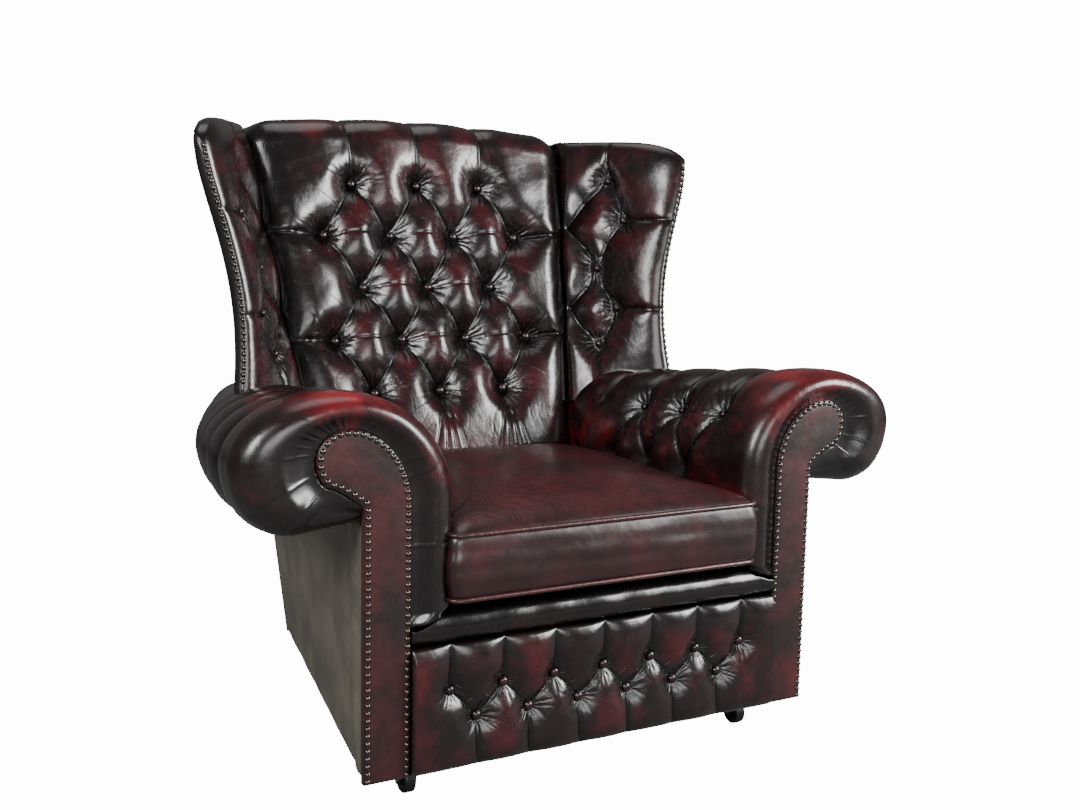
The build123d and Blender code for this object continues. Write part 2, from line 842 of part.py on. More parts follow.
pleats = [first_pleat + i * pleat_pitch for i in range(pleat_count)]
stations = [(-8, 0.5, 0), (0, 0.78, 0), (14, 0.93, 0), (36, 1, 0), (75, 1, 0)]
for pleat in pleats:
    stations += [(pleat - 20, 1, 2), (pleat, 1, pleat_depth), (pleat + 20, 1, 2),
                 (pleat + pleat_pitch / 2, 1, 0)]
stations += [(640, 1, 3), (arm_rear, 1, 6)]
arm_block = ruled([arm_section(*station) for station in stations])
facing_cut = facing_solid(0, -30, facing_thickness, ground_gap)
rear_cut = behind_back()


def arm_button_seat(depth):
    """Where a button sits on the inner shoulder of the arm, and the way it faces."""
    foot_in, shoulder, top, outer, under, corner, foot_out = arm_points(depth, pleat_depth)
    middle = quarter(shoulder, top, (shoulder[0], top[1]))
    arc = ThreePointArc(*[(x, depth, z) for x, z in (shoulder, middle, top)])
    point, way = arc @ arm_button_share, arc % arm_button_share
    outward = (-way.Z, 0, way.X)
    seat = tuple(a - 3 * b for a, b in zip(tuple(point), outward))
    return seat, outward


arm_button_seats = [arm_button_seat(depth) for depth in pleats[:3]]
arm = arm_block - facing_cut - arm_post - arm_rail - back_upright - rear_cut
arm = arm - [button_hole(*seat) for seat in arm_button_seats]
keep_pair("arm", arm)

facing = facing_solid(0, 0, facing_thickness, ground_gap)
keep_pair("arm_facing", facing)


apron_rear = facing_thickness


def apron_point(u, v, height):
    return (u, -height, v)


def apron_cells():
    """Outlines of the apron pillows between its two rows of buttons."""
    top = [(i - 3) * apron_pitch for i in range(7)]
    low = [(i - 2.5) * apron_pitch for i in range(6)]
    seam, foot = lip_seam_height - 3, ground_gap + 4
    cells = []
    for i in range(6):
        cells.append([(top[i], seam), (top[i], apron_top_row), (low[i], apron_bottom_row),
                      (top[i + 1], apron_top_row), (top[i + 1], seam)])
    for i in range(5):
        cells.append([(low[i], apron_bottom_row), (low[i], foot), (low[i + 1], foot),
                      (low[i + 1], apron_bottom_row), (top[i + 1], apron_top_row)])
    for side in (-1, 1):
        edge = side * (apron_half_width - 2)
        cells.append([(edge, seam), (side * top[6], seam), (side * top[6], apron_top_row),
                      (side * low[5], apron_bottom_row), (side * low[5], foot), (edge, foot)])
    return cells


apron_buttons = [((i - 3) * apron_pitch, apron_top_row) for i in range(7)]
apron_buttons += [((i - 2.5) * apron_pitch, apron_bottom_row) for i in range(6)]
apron = box_between(
    (-apron_half_width, 0, ground_gap + 1), (apron_half_width, apron_rear, lip_seam_height - 1)
)
apron = apron.fuse(*[pillow(apron_point, c, apron_rise) for c in apron_cells()])
apron_holes = [
    Plane(origin=(u, 6, v), z_dir=(0, -1, 0)).location * Cylinder(
        button_diameter / 2 + 1, 12, align=standing)
    for u, v in apron_buttons
]
apron = apron - apron_holes
keep("front_apron", apron)

lip_wires = []
for x in (-facing_inner_x + 1, facing_inner_x - 1):
    lip_wires.append(Wire([
        Line((x, 60, lip_seam_height), (x, -1, lip_seam_height)),
        ThreePointArc((x, -1, lip_seam_height), (x, -9, lip_seam_height + 22), (x, 12, lip_height)),
        Line((x, 12, lip_height), (x, 60, lip_height + 1)),
        Line((x, 60, lip_height + 1), (x, 60, lip_seam_height)),
    ]))
lip_ends = [
    box_between((side * (arm_inner_x - 1), -30, arm_foot_height - 0.5), (side * 400, 100, 400))
    for side in (-1, 1)
]
lip_posts = [arm_post, mirror(arm_post, about=Plane.YZ), front_rail]
keep("front_lip", ruled(lip_wires) - lip_ends - lip_posts)

deck_rear = cushion_rear + 4
deck = box_between(
    (-deck_half_width, 61, deck_height - deck_thickness), (deck_half_width, deck_rear, deck_height)
)
keep("seat_deck", deck)

back_pad = inside_back() - arm - mirror(arm, about=Plane.YZ)
keep("inside_back", back_pad)

back_panel_profile = [
    (rear_depth(ground_gap) - cover_thickness, ground_gap), (rear_depth(ground_gap), ground_gap),
    (rear_most, back_panel_height), (rear_most - cover_thickness, back_panel_height),
]
back_outline = [(-rear_half_width(ground_gap), ground_gap), (rear_half_width(ground_gap), ground_gap),
                (rear_half_width(982), 982), (160, back_panel_height), (-160, back_panel_height),
                (-rear_half_width(982), 982)]
back_mask = ruled([polygon_wire([(x, y, z) for x, z in back_outline]) for y in (500, 1000)])
keep("outside_back", side_prism(back_panel_profile, 400) & back_mask)


def roll_envelope():
    """The smooth outside of the roll below the wing, drawn with straight sides."""
    wires = []
    for depth in (330, 480, 640, 800):
        foot_in, shoulder, top, outer, under, corner, foot_out = arm_points(depth, -0.5)
        round_one = quarter(shoulder, top, (shoulder[0], top[1]))
        round_two = quarter(top, outer, (outer[0], top[1]))
        ring = [foot_in, shoulder, round_one, top, round_two, outer, under, foot_out]
        wires.append([(x, depth, z) for x, z in ring])
    return ruled([polygon_wire(ring) for ring in wires])


envelope = roll_envelope()
wing_board = wing_solid("board", wing_cap) - back_upright - envelope - arm
keep_pair("wing_frame", wing_board)
wing_roof = wing_solid("cap", 0) - wing_mask(wing_cap)
wing_pillows = [twisted_pillow(wing_point, c, wing_rise) for c in wing_cells()]
wing_pad = wing_solid("pad", 0).fuse(wing_roof, *wing_pillows)
wing_pad = wing_pad - envelope - back_upright - wing_board - arm
wing_button_seats = []
for share, level in wing_button_places:
    crease, front, along, across, run = wing_frame_at(level)
    wing_button_seats.append((wing_point(share, level, -2), (-across[0], -across[1], 0)))
wing_pad = wing_pad - [button_hole(*seat) for seat in wing_button_seats]
keep_pair("inside_wing", wing_pad)
wing_cover = wing_solid("cover", 0) - envelope - wing_board - arm
keep_pair("outside_wing", wing_cover)

cushion_cover, cushion_core = build_cushion()
keep("cushion_cover", cushion_cover)
keep("cushion_core", cushion_core)
keep("cushion_welt_bottom", welt(bottom_welt_height))
keep("cushion_welt_top", welt(top_welt_height))

dust_outline = [(-360, 20), (360, 20), (rear_half_width(ground_gap) - 16, frame_rear - 4),
                (-rear_half_width(ground_gap) + 16, frame_rear - 4)]
dust_bores = [
    Location((x, y, ground_gap)) * Cylinder(socket_diameter / 2 + 0.5, 20, align=standing)
    for x, y in castor_places.values()
]
dust = upright_prism(dust_outline, frame_foot - 2, frame_foot) - dust_bores
keep("dust_cover", dust)

# Buttons and nails

button = dome(button_diameter, button_height)
back_places = [(back_point(u, v, -groove_floor), back_normal) for u, v in back_buttons_grid()]
keep("back_buttons", heads(button, back_places))
keep("apron_buttons", heads(button, [((u, 6, v), (0, -1, 0)) for u, v in apron_buttons]))


def mirrored(places):
    """The mirror images of point and direction pairs."""
    return [((-p[0], p[1], p[2]), (-d[0], d[1], d[2])) for p, d in places]


keep("wing_buttons", heads(button, wing_button_seats + mirrored(wing_button_seats)))
keep("arm_buttons", heads(button, arm_button_seats + mirrored(arm_button_seats)))

nail = dome(nail_diameter, nail_height)


def nail_line(wire):
    """Evenly spaced points along a wire, close to the nail pitch."""
    count = round(wire.length / nail_pitch)
    step = wire.length / count
    return [wire.position_at(i * step, position_mode=PositionMode.LENGTH) for i in range(count + 1)]


facing_edges = facing_wire(nail_inset, 0, ground_gap + 6).edges()
facing_run = Wire([e for e in facing_edges if (e @ 0.5).Z > ground_gap + 10])
facing_nails = [(tuple(p), (0, -1, 0)) for p in nail_line(facing_run)]
keep("facing_nails_right", heads(nail, facing_nails))
keep("facing_nails_left", heads(nail, mirrored(facing_nails)))


def wing_nail_seat(level):
    """A point on the front edge of the wing, and the direction square to that leaning edge."""
    below = max(h for h in wing_levels if h <= level)
    above = min(h for h in wing_levels if h > level)
    share = (level - below) / (above - below)
    low, high = Vector(*wing_front(below), below), Vector(*wing_front(above), above)
    edge = (high - low).normalized()
    crease, front, along, across, run = wing_frame_at(level)
    ahead = Vector(along[0], along[1], 0)
    outward = (ahead - edge * ahead.dot(edge)).normalized()
    return tuple(low + (high - low) * share + outward * nail_standoff), tuple(outward)


wing_nails = []
wing_nail_count = round((wing_nail_top - wing_nail_foot) / nail_pitch)
for i in range(wing_nail_count + 1):
    wing_nails.append(wing_nail_seat(wing_nail_foot + i * nail_pitch))
keep("wing_nails_right", heads(nail, wing_nails))
keep("wing_nails_left", heads(nail, mirrored(wing_nails)))

for name, shape in node_shapes.items():
    export_step(shape, "parts/" + name + ".step")
print(len(node_shapes), "nodes")
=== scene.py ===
import math
import bmesh
import bpy
import numpy as np
from mathutils import Matrix, Vector


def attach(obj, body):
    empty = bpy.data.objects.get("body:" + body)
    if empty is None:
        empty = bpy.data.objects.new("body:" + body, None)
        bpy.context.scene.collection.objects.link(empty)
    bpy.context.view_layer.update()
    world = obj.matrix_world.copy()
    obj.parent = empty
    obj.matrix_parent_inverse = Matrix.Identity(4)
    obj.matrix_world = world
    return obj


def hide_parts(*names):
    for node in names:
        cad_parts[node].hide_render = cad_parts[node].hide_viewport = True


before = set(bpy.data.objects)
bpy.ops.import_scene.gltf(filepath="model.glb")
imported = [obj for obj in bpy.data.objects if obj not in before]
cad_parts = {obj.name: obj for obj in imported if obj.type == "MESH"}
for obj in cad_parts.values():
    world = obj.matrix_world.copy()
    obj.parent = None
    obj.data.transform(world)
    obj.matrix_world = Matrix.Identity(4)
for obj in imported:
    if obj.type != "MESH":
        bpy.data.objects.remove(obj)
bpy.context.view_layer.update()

# Lengths here are millimetres. Depths are measured back from the front of the arm
# facings, and the shift puts them in the frame of the chair, whose origin is on the floor.
shift = 391.51
chair = "chair_frame"
sides = ((1, "right"), (-1, "left"))


# Camera, matched to the photograph

view_turn, view_tilt, view_roll = 29.8, -7.8, 1.2
view_place = (-1.0399, -1.6041 - shift / 1000, 0.8207)
sensor_width, picture_width, pixels_per_tangent = 36, 1080, 1306.5


def set_camera():
    yaw, pitch, roll = (math.radians(a) for a in (view_turn, view_tilt, view_roll))
    ahead = Vector((math.sin(yaw) * math.cos(pitch), math.cos(yaw) * math.cos(pitch), math.sin(pitch)))
    flat_right = Vector((math.cos(yaw), -math.sin(yaw), 0))
    flat_up = flat_right.cross(ahead)
    right = flat_right * math.cos(roll) + flat_up * math.sin(roll)
    up = flat_up * math.cos(roll) - flat_right * math.sin(roll)
    data = bpy.data.cameras.new("camera")
    data.sensor_width = sensor_width
    data.lens = sensor_width * pixels_per_tangent / picture_width
    data.clip_end = 60
    camera = bpy.data.objects.new("camera", data)
    turn = Matrix((right, up, -ahead)).transposed().to_4x4()
    camera.matrix_world = Matrix.Translation(view_place) @ turn
    bpy.context.scene.collection.objects.link(camera)
    bpy.context.scene.camera = camera


set_camera()


# Materials. Colours are sRGB hex values, and patterns are sized in millimetres.

def linear(code):
    """An sRGB hex colour as linear red, green, blue and alpha."""
    parts = [int(code[i:i + 2], 16) / 255 for i in (0, 2, 4)]
    return [c / 12.92 if c < 0.04045 else ((c + 0.055) / 1.055) ** 2.4 for c in parts] + [1]


def per_metre(spacing):
    """The scale of a pattern whose features stand this many millimetres apart."""
    return 1000 / spacing


def fill_in(node, values):
    """Give a node's inputs their values; a node stands for its own first output."""
    for key, value in values.items():
        if isinstance(value, bpy.types.Node):
            value = value.outputs[0]
        if isinstance(value, bpy.types.NodeSocket):
            node.id_data.links.new(value, node.inputs[key])
        else:
            node.inputs[key].default_value = value


def add(nodes, kind, values, **settings):
    """One shader node, with its settings, its input values and its links."""
    node = nodes.new("ShaderNode" + kind)
    for key, value in settings.items():
        setattr(node, key, value)
    fill_in(node, values)
    return node


def spread_colours(ramp, stops):
    """Put (position, hex colour) stops on a colour ramp."""
    while len(ramp.elements) < len(stops):
        ramp.elements.new(0.5)
    for element, (position, code) in zip(ramp.elements, stops):
        element.position = position
        element.color = linear(code)


def new_material(name):
    material = bpy.data.materials.new(name)
    material.use_nodes = True
    nodes = material.node_tree.nodes
    nodes.clear()
    surface = add(nodes, "BsdfPrincipled", {})
    add(nodes, "OutputMaterial", {"Surface": surface})
    return material, nodes, surface


def button_gathers(nodes, place):
    """Fine radial creases round each button, from the attribute that holds the way to the nearest one."""
    offset = add(nodes, "Attribute", {}, attribute_name="tuft", attribute_type="GEOMETRY").outputs["Vector"]
    way = add(nodes, "SeparateXYZ", {"Vector": offset}).outputs
    angle = add(nodes, "Math", {0: way["Y"], 1: way["X"]}, operation="ARCTAN2")
    radius = add(nodes, "VectorMath", {0: offset}, operation="LENGTH").outputs["Value"]
    wander = add(nodes, "TexNoise", {"Vector": place, "Scale": per_metre(31.25), "Detail": 2.0})
    turned = add(nodes, "Math", {0: angle, 1: 8.0}, operation="MULTIPLY")
    strayed = add(nodes, "Math", {0: wander, 1: 7.0}, operation="MULTIPLY")
    turns = add(nodes, "Math", {0: turned, 1: strayed}, operation="ADD")
    wave = add(nodes, "Math", {0: turns}, operation="SINE")
    wave = add(nodes, "Math", {0: wave}, operation="ABSOLUTE")
    ridge = add(nodes, "Math", {0: wave, 1: 0.35}, operation="POWER")
    start = add(nodes, "Math", {0: radius, 1: 90.0}, operation="MULTIPLY", use_clamp=True)
    square = add(nodes, "Math", {0: radius, 1: radius}, operation="MULTIPLY")
    fading = add(nodes, "Math", {0: square, 1: -900.0}, operation="MULTIPLY")
    reach = add(nodes, "Math", {0: 2.718, 1: fading}, operation="POWER")
    lengths = add(nodes, "TexNoise", {"Vector": place, "Scale": per_metre(20)})
    share = add(nodes, "Math", {0: start, 1: reach}, operation="MULTIPLY")
    share = add(nodes, "Math", {0: share, 1: lengths}, operation="MULTIPLY")
    gathers = add(nodes, "Math", {0: ridge, 1: share}, operation="MULTIPLY")
    return add(nodes, "Math", {0: gathers, 1: 3.0}, operation="MULTIPLY")


def crossed_creases(nodes, place):
    """Long thin creases 19 mm apart that cross in patches, where the hide is sat on and stretched."""
    spacing = 0.019
    directions = ((0.83, 0.56, 0.2), (0.9, -0.4, 0.5), (0.2, 0.95, 0.6))
    wander = add(nodes, "TexNoise", {"Vector": place, "Scale": per_metre(111.1), "Detail": 2.0})
    total = 0.0
    for direction, bend, patch_size in zip(directions, (9.0, 14.0, 19.0), (166.7, 117.65, 90.91)):
        along = add(nodes, "VectorMath", {0: place, 1: direction}, operation="DOT_PRODUCT").outputs["Value"]
        phase = add(nodes, "Math", {0: along, 1: math.pi / spacing}, operation="MULTIPLY")
        strayed = add(nodes, "Math", {0: wander, 1: bend}, operation="MULTIPLY")
        phase = add(nodes, "Math", {0: phase, 1: strayed}, operation="ADD")
        wave = add(nodes, "Math", {0: phase}, operation="SINE")
        wave = add(nodes, "Math", {0: wave}, operation="ABSOLUTE")
        line = add(nodes, "Math", {0: 1.0, 1: wave}, operation="SUBTRACT")
        line = add(nodes, "Math", {0: line, 1: 11.0}, operation="POWER")
        patch = add(nodes, "TexNoise", {"Vector": place, "Scale": per_metre(patch_size)})
        patch = add(nodes, "Math", {0: patch, 1: 0.46}, operation="SUBTRACT")
        patch = add(nodes, "Math", {0: patch, 1: 7.0}, operation="MULTIPLY", use_clamp=True)
        line = add(nodes, "Math", {0: line, 1: patch}, operation="MULTIPLY")
        total = add(nodes, "Math", {0: total, 1: line}, operation="ADD")
    return total


def antiqued_leather(name, colours, dye_and_shade_share, gloss, redness, crossing=0.0):
    """Full-grain hide, dyed red and rubbed over with black by hand, then lacquered.

    The black stays in the folds and the red shows where hands polish it; the attribute that darkens the folds
    also carries painted shade in creases, button dents, edges and undersides. The lacquer gives sharp
    highlights, and flexing breaks it into fine cracks about 5 mm apart. The pores of a hide are finer than a
    picture shows, and are drawn 1.6 mm apart."""
    material, nodes, surface = new_material(name)
    place = add(nodes, "TexCoord", {}).outputs["Object"]
    fold_dye_and_shade = add(nodes, "Attribute", {}, attribute_name="fold_dye_and_shade", attribute_type="GEOMETRY").outputs["Fac"]
    patches = add(nodes, "TexNoise", {"Vector": place, "Scale": per_metre(85), "Detail": 3.0,
                                      "Roughness": 0.55, "Distortion": 0.4})
    streaks = add(nodes, "TexNoise", {"Vector": place, "Scale": per_metre(18.182), "Detail": 5.0,
                                      "Roughness": 0.7})
    broad = add(nodes, "Math", {0: patches, 1: 1.3}, operation="MULTIPLY")
    narrow = add(nodes, "Math", {0: streaks, 1: 0.3}, operation="MULTIPLY")
    rubbed = add(nodes, "Math", {0: broad, 1: narrow}, operation="ADD")
    # Darkening from the attribute: black dye left in the folds, and painted shade in creases, dents, edges
    # and undersides.
    dye_and_shade_dark = add(nodes, "Math", {0: fold_dye_and_shade, 1: dye_and_shade_share}, operation="MULTIPLY")
    rubbed = add(nodes, "Math", {0: rubbed, 1: dye_and_shade_dark}, operation="SUBTRACT")
    in_dye_and_shade = add(nodes, "Math", {0: fold_dye_and_shade, 1: 2.0}, operation="MULTIPLY")
    out_of_dye_and_shade = add(nodes, "Math", {0: 1.0, 1: in_dye_and_shade}, operation="SUBTRACT", use_clamp=True)
    crossed = add(nodes, "Math", {0: crossed_creases(nodes, place), 1: out_of_dye_and_shade}, operation="MULTIPLY")
    worn = add(nodes, "Math", {0: crossed, 1: crossing * 0.22}, operation="MULTIPLY")
    rubbed = add(nodes, "Math", {0: rubbed, 1: worn}, operation="ADD")
    rubbed = add(nodes, "Math", {0: rubbed, 1: redness}, operation="ADD")
    rubbed = add(nodes, "Math", {0: rubbed, 1: 0.7}, operation="MULTIPLY")
    colour = add(nodes, "ValToRGB", {"Fac": rubbed})
    spread_colours(colour.color_ramp, tuple(zip((0.22, 0.47, 0.7, 0.95), colours)))

    cells = add(nodes, "TexVoronoi", {"Vector": place, "Scale": per_metre(5.263)}, feature="DISTANCE_TO_EDGE")
    cracks = add(nodes, "Math", {0: cells.outputs["Distance"], 1: 0.12}, operation="MINIMUM")
    cracks = add(nodes, "Math", {0: cracks, 1: 2.2}, operation="MULTIPLY")
    pores = add(nodes, "TexNoise", {"Vector": place, "Scale": per_metre(1.6129), "Detail": 2.0})
    pores = add(nodes, "Math", {0: pores, 1: 0.22}, operation="MULTIPLY")
    relief = add(nodes, "Math", {0: cracks, 1: pores}, operation="ADD")
    cuts = add(nodes, "Math", {0: crossed, 1: crossing * 2.5}, operation="MULTIPLY")
    relief = add(nodes, "Math", {0: relief, 1: cuts}, operation="SUBTRACT")
    grain = add(nodes, "Bump", {"Height": relief, "Strength": 0.25, "Distance": 0.0006})
    gathers = add(nodes, "Bump", {"Height": button_gathers(nodes, place), "Strength": 0.75,
                                  "Distance": 0.0018, "Normal": grain})
    soft = add(nodes, "TexNoise", {"Vector": place, "Scale": per_metre(35.714), "Detail": 2.0})
    swell = add(nodes, "Bump", {"Height": soft, "Strength": 0.5, "Distance": 0.0025, "Normal": gathers})
    dulled = add(nodes, "Math", {0: streaks, 1: 0.22}, operation="MULTIPLY")
    rough = add(nodes, "Math", {0: dulled, 1: gloss}, operation="ADD")
    fill_in(surface, {"Base Color": colour, "Roughness": rough, "Normal": swell, "IOR": 1.5,
                      "Coat Weight": 0.25, "Coat Roughness": 0.2})
    return material


def plain(name, colours, rough, metallic, grit, depth, coat=0.0):
    """A plain finish: two close colours in clouds, and a fine relief of grit this many millimetres apart."""
    material, nodes, surface = new_material(name)
    place = add(nodes, "TexCoord", {}).outputs["Object"]
    cloud = add(nodes, "TexNoise", {"Vector": place, "Scale": per_metre(16.667), "Detail": 4.0})
    low, high = (linear(code) for code in colours)
    colour = add(nodes, "Mix", {0: cloud, 6: low, 7: high}, data_type="RGBA").outputs[2]
    relief = add(nodes, "TexNoise", {"Vector": place, "Scale": per_metre(grit), "Detail": 3.0})
    bump = add(nodes, "Bump", {"Height": relief, "Strength": 0.6, "Distance": depth})
    fill_in(surface, {"Base Color": colour, "Metallic": metallic, "Roughness": rough, "Normal": bump,
                      "Coat Weight": coat, "Coat Roughness": 0.06})
    return material


def sawn_beech():
    """Sawn beech: pale and dull, with fibres 4 mm apart and ten times as long, finer in their detail."""
    material, nodes, surface = new_material("sawn_beech")
    place = add(nodes, "TexCoord", {}).outputs["Object"]
    width, length = per_metre(16.667), per_metre(166.67)
    stretched = add(nodes, "Mapping", {"Vector": place, "Scale": (width, width, length)})
    fibres = add(nodes, "TexNoise", {"Vector": stretched, "Scale": 4.0, "Detail": 6.0})
    colour = add(nodes, "ValToRGB", {"Fac": fibres})
    spread_colours(colour.color_ramp, ((0.3, "9c744a"), (0.55, "c39a6b"), (0.8, "d6b285")))
    bump = add(nodes, "Bump", {"Height": fibres, "Strength": 0.3, "Distance": 0.0004})
    fill_in(surface, {"Base Color": colour, "Roughness": 0.7, "Normal": bump})
    return material


def woven_cloth(name, thread, gap):
    """Black platform cloth: a dull plain weave, drawn with threads 3 mm apart so that it shows."""
    material, nodes, surface = new_material(name)
    place = add(nodes, "TexCoord", {}).outputs["Object"]
    # One wave of the pattern is 2 pi / 20 long at a scale of 1.
    scale = per_metre(2.992) * 2 * math.pi / 20
    warp, weft = (add(nodes, "TexWave", {"Vector": place, "Scale": scale}, bands_direction=way).outputs["Fac"]
                  for way in "XY")
    weave = add(nodes, "Math", {0: warp, 1: weft}, operation="MULTIPLY")
    colour = add(nodes, "Mix", {0: weave, 6: linear(thread), 7: linear(gap)}, data_type="RGBA").outputs[2]
    bump = add(nodes, "Bump", {"Height": weave, "Strength": 0.5, "Distance": 0.0004})
    fill_in(surface, {"Base Color": colour, "Roughness": 0.9, "Normal": bump})
    return material


# Glossy hide of the tufted parts: nearly black in the folds, from dye left there and painted shade, oxblood
# on the crowns.
tufted_leather = antiqued_leather("tufted_leather", ("080405", "16080a", "3d0e13", "641219"), 0.75, 0.14,
                                  -0.05, 0.3)
# The arms are the most handled, so the rolls wear to the brightest red.
arm_leather = antiqued_leather("arm_leather", ("0a0506", "1b090b", "560e14", "8f141d"), 0.65, 0.19,
                               -0.1, 0.25)
# The seat has lost its gloss and its black to wear, and is an even, creased brown red.
seat_leather = antiqued_leather("seat_leather", ("120708", "270e10", "401417", "55181c"), 0.45, 0.25,
                                0.08, 0.7)
# The facings are stretched flat on boards, with a satin sheen.
facing_leather = antiqued_leather("facing_leather", ("0b0606", "1b090a", "3a0f12", "601418"), 0.7, 0.32,
                                  -0.02)
# The roll under the cushion is drawn almost black: its own dark brown under painted shadow from the cushion.
lip_leather = antiqued_leather("lip_leather", ("050303", "100607", "300c10", "481016"), 0.5, 0.14, -0.1)
# The sides and back are a dull olive brown that was never rubbed red.
panel_leather = antiqued_leather("panel_leather", ("39342b", "544e43", "6a6355", "787163"), 0.4, 0.36, 0.05)
# The wings' outer covers are a plain black brown.
cover_leather = antiqued_leather("cover_leather", ("080606", "140f10", "22171a", "301c20"), 0.6, 0.28, 0.0)
# Buttons are small and drawn tight, so they shine most.
button_leather = antiqued_leather("button_leather", ("0a0405", "160709", "280b0e", "360e12"), 0.4, 0.12, 0.0)
# Nail heads: dark bronzed brass under clear lacquer, each with a sharp white glint.
bronze = plain("antique_bronze", ("3a332c", "544a3f"), 0.14, 1.0, 2.5, 0.0001, 1.0)
# Springs, sockets and axles: drawn and zinc-plated wire and bar, grey and satin.
steel = plain("plain_steel", ("8d8f92", "a3a4a6"), 0.35, 1.0, 3.3333, 0.0001)
# Castor forks: pressed steel in black enamel.
black_steel = plain("black_enamel", ("0b0b0c", "151516"), 0.35, 0.0, 2.0, 0.0001)
# Castor wheels: moulded nylon, black and a little duller.
nylon = plain("black_nylon", ("08080a", "111113"), 0.4, 0.0, 1.4286, 0.0001)
# Seat foam: cut polyurethane, cream and quite dull, with open cells drawn 1.1 mm apart.
foam = plain("seat_foam", ("d9cf9f", "e6ddb4"), 0.95, 0.0, 1.1111, 0.0008)
beech = sawn_beech()
platform_cloth = woven_cloth("platform_cloth", "0a0a0a", "1d1c1b")


# Making a piece

def waves(a, b, size, seed):
    """A smooth uneven field between -1 and 1, with hollows about size apart."""
    rng = np.random.default_rng(seed)
    total = np.zeros_like(a)
    for i in range(7):
        angle, phase = rng.uniform(0, math.pi), rng.uniform(0, 2 * math.pi)
        length = size * rng.uniform(0.7, 1.8)
        total += np.sin((a * math.cos(angle) + b * math.sin(angle)) * 2 * math.pi / length + phase)
    return total / 7 * 1.6


def finish_piece(bm, name, body, material, node, slot, shade=None, pad=None, ways=None):
    """Turn a bmesh in millimetres from the facing plane into a piece of the chair.

    shade darkens the leather, with the dye left in its folds and painted shade in its creases, dents, edges
    and undersides, and ways lead from each point to its button."""
    name = name + "_finished"
    mesh = bpy.data.meshes.new(name)
    for face in bm.faces:
        face.smooth = True
    bm.to_mesh(mesh)
    bm.free()
    count = len(mesh.vertices)
    points = np.zeros(count * 3)
    mesh.vertices.foreach_get("co", points)
    points[1::3] -= shift
    mesh.vertices.foreach_set("co", points / 1000)
    if shade is None:
        shade = np.zeros(count)
    # The shade, dye in the folds and painted shade, is stored as an attribute that the leather reads.
    mesh.attributes.new("fold_dye_and_shade", "FLOAT", "POINT").data.foreach_set("value", shade)
    if ways is not None:
        offsets = np.zeros((count, 3))
        offsets[:len(ways), :2] = ways / 1000
        mesh.attributes.new("tuft", "FLOAT_VECTOR", "POINT").data.foreach_set("vector", offsets.ravel())
    mesh.update()
    piece = bpy.data.objects.new(name, mesh)
    bpy.context.scene.collection.objects.link(piece)
    mesh.materials.append(material)
    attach(piece, body)
    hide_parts(node)


def unit_grid(across, along):
    """A grid of faces, and the share of the way across and along it of each point."""
    bm = bmesh.new()
    bmesh.ops.create_grid(bm, x_segments=across, y_segments=along, size=0.5)
    s, t = np.array([v.co.xy for v in bm.verts]).T + 0.5
    return bm, s, t


def padded_sheet(name, across, along, place, body, material, slot, side=1, back=None, pad=0.8, ring=False):
    """A stuffed surface that replaces the node of its name: a grid laid by place(s, t), closed behind.

    place gives x, y, z and the shade, dye in the folds with painted shade, and on a buttoned piece the way to
    the nearest button.
    back moves the rim inwards before it is filled. A ring's two ends are joined."""
    bm, s, t = unit_grid(across, along)
    x, y, z, shade, *ways = place(s, t)
    x = x * side
    for vert, a, b, c in zip(bm.verts, x, y, z):
        vert.co = (a, b, c)
    layer = bm.verts.layers.float.new("shade")
    for vert, value in zip(bm.verts, shade):
        vert[layer] = value
    if ring:
        bmesh.ops.remove_doubles(bm, verts=bm.verts, dist=0.01)
    rim = [e for e in bm.edges if e.is_boundary]
    if back is not None and rim:
        made = bmesh.ops.extrude_edge_only(bm, edges=rim)["geom"]
        moved = [g for g in made if isinstance(g, bmesh.types.BMVert)]
        # The rim turned in behind the leather gets full painted shade.
        for vert in moved:
            vert.co = Vector(back(vert.co.x * side, vert.co.y, vert.co.z))
            vert.co.x *= side
            vert[layer] = 1.0
        rim = [e for e in bm.edges if e.is_boundary]
    if rim:
        bmesh.ops.holes_fill(bm, edges=rim, sides=0)
    bmesh.ops.recalc_face_normals(bm, faces=bm.faces)
    values = np.array([v[layer] for v in bm.verts])
    bm.verts.layers.float.remove(layer)
    finish_piece(bm, name, body, material, name, slot, values, pad, *ways)


def smooth_step(a, low, high):
    """A soft step from 0 at low to 1 at high."""
    share = np.clip((a - low) / (high - low), 0, 1)
    return share * share * (3 - 2 * share)


def to_pleat(u, v, ends):
    """Distance from points to a pleat between two ends."""
    (au, av), (bu, bv) = ends
    du, dv = bu - au, bv - av
    along = np.clip(((u - au) * du + (v - av) * dv) / (du * du + dv * dv), 0, 1)
    return np.hypot(u - au - along * du, v - av - along * dv)


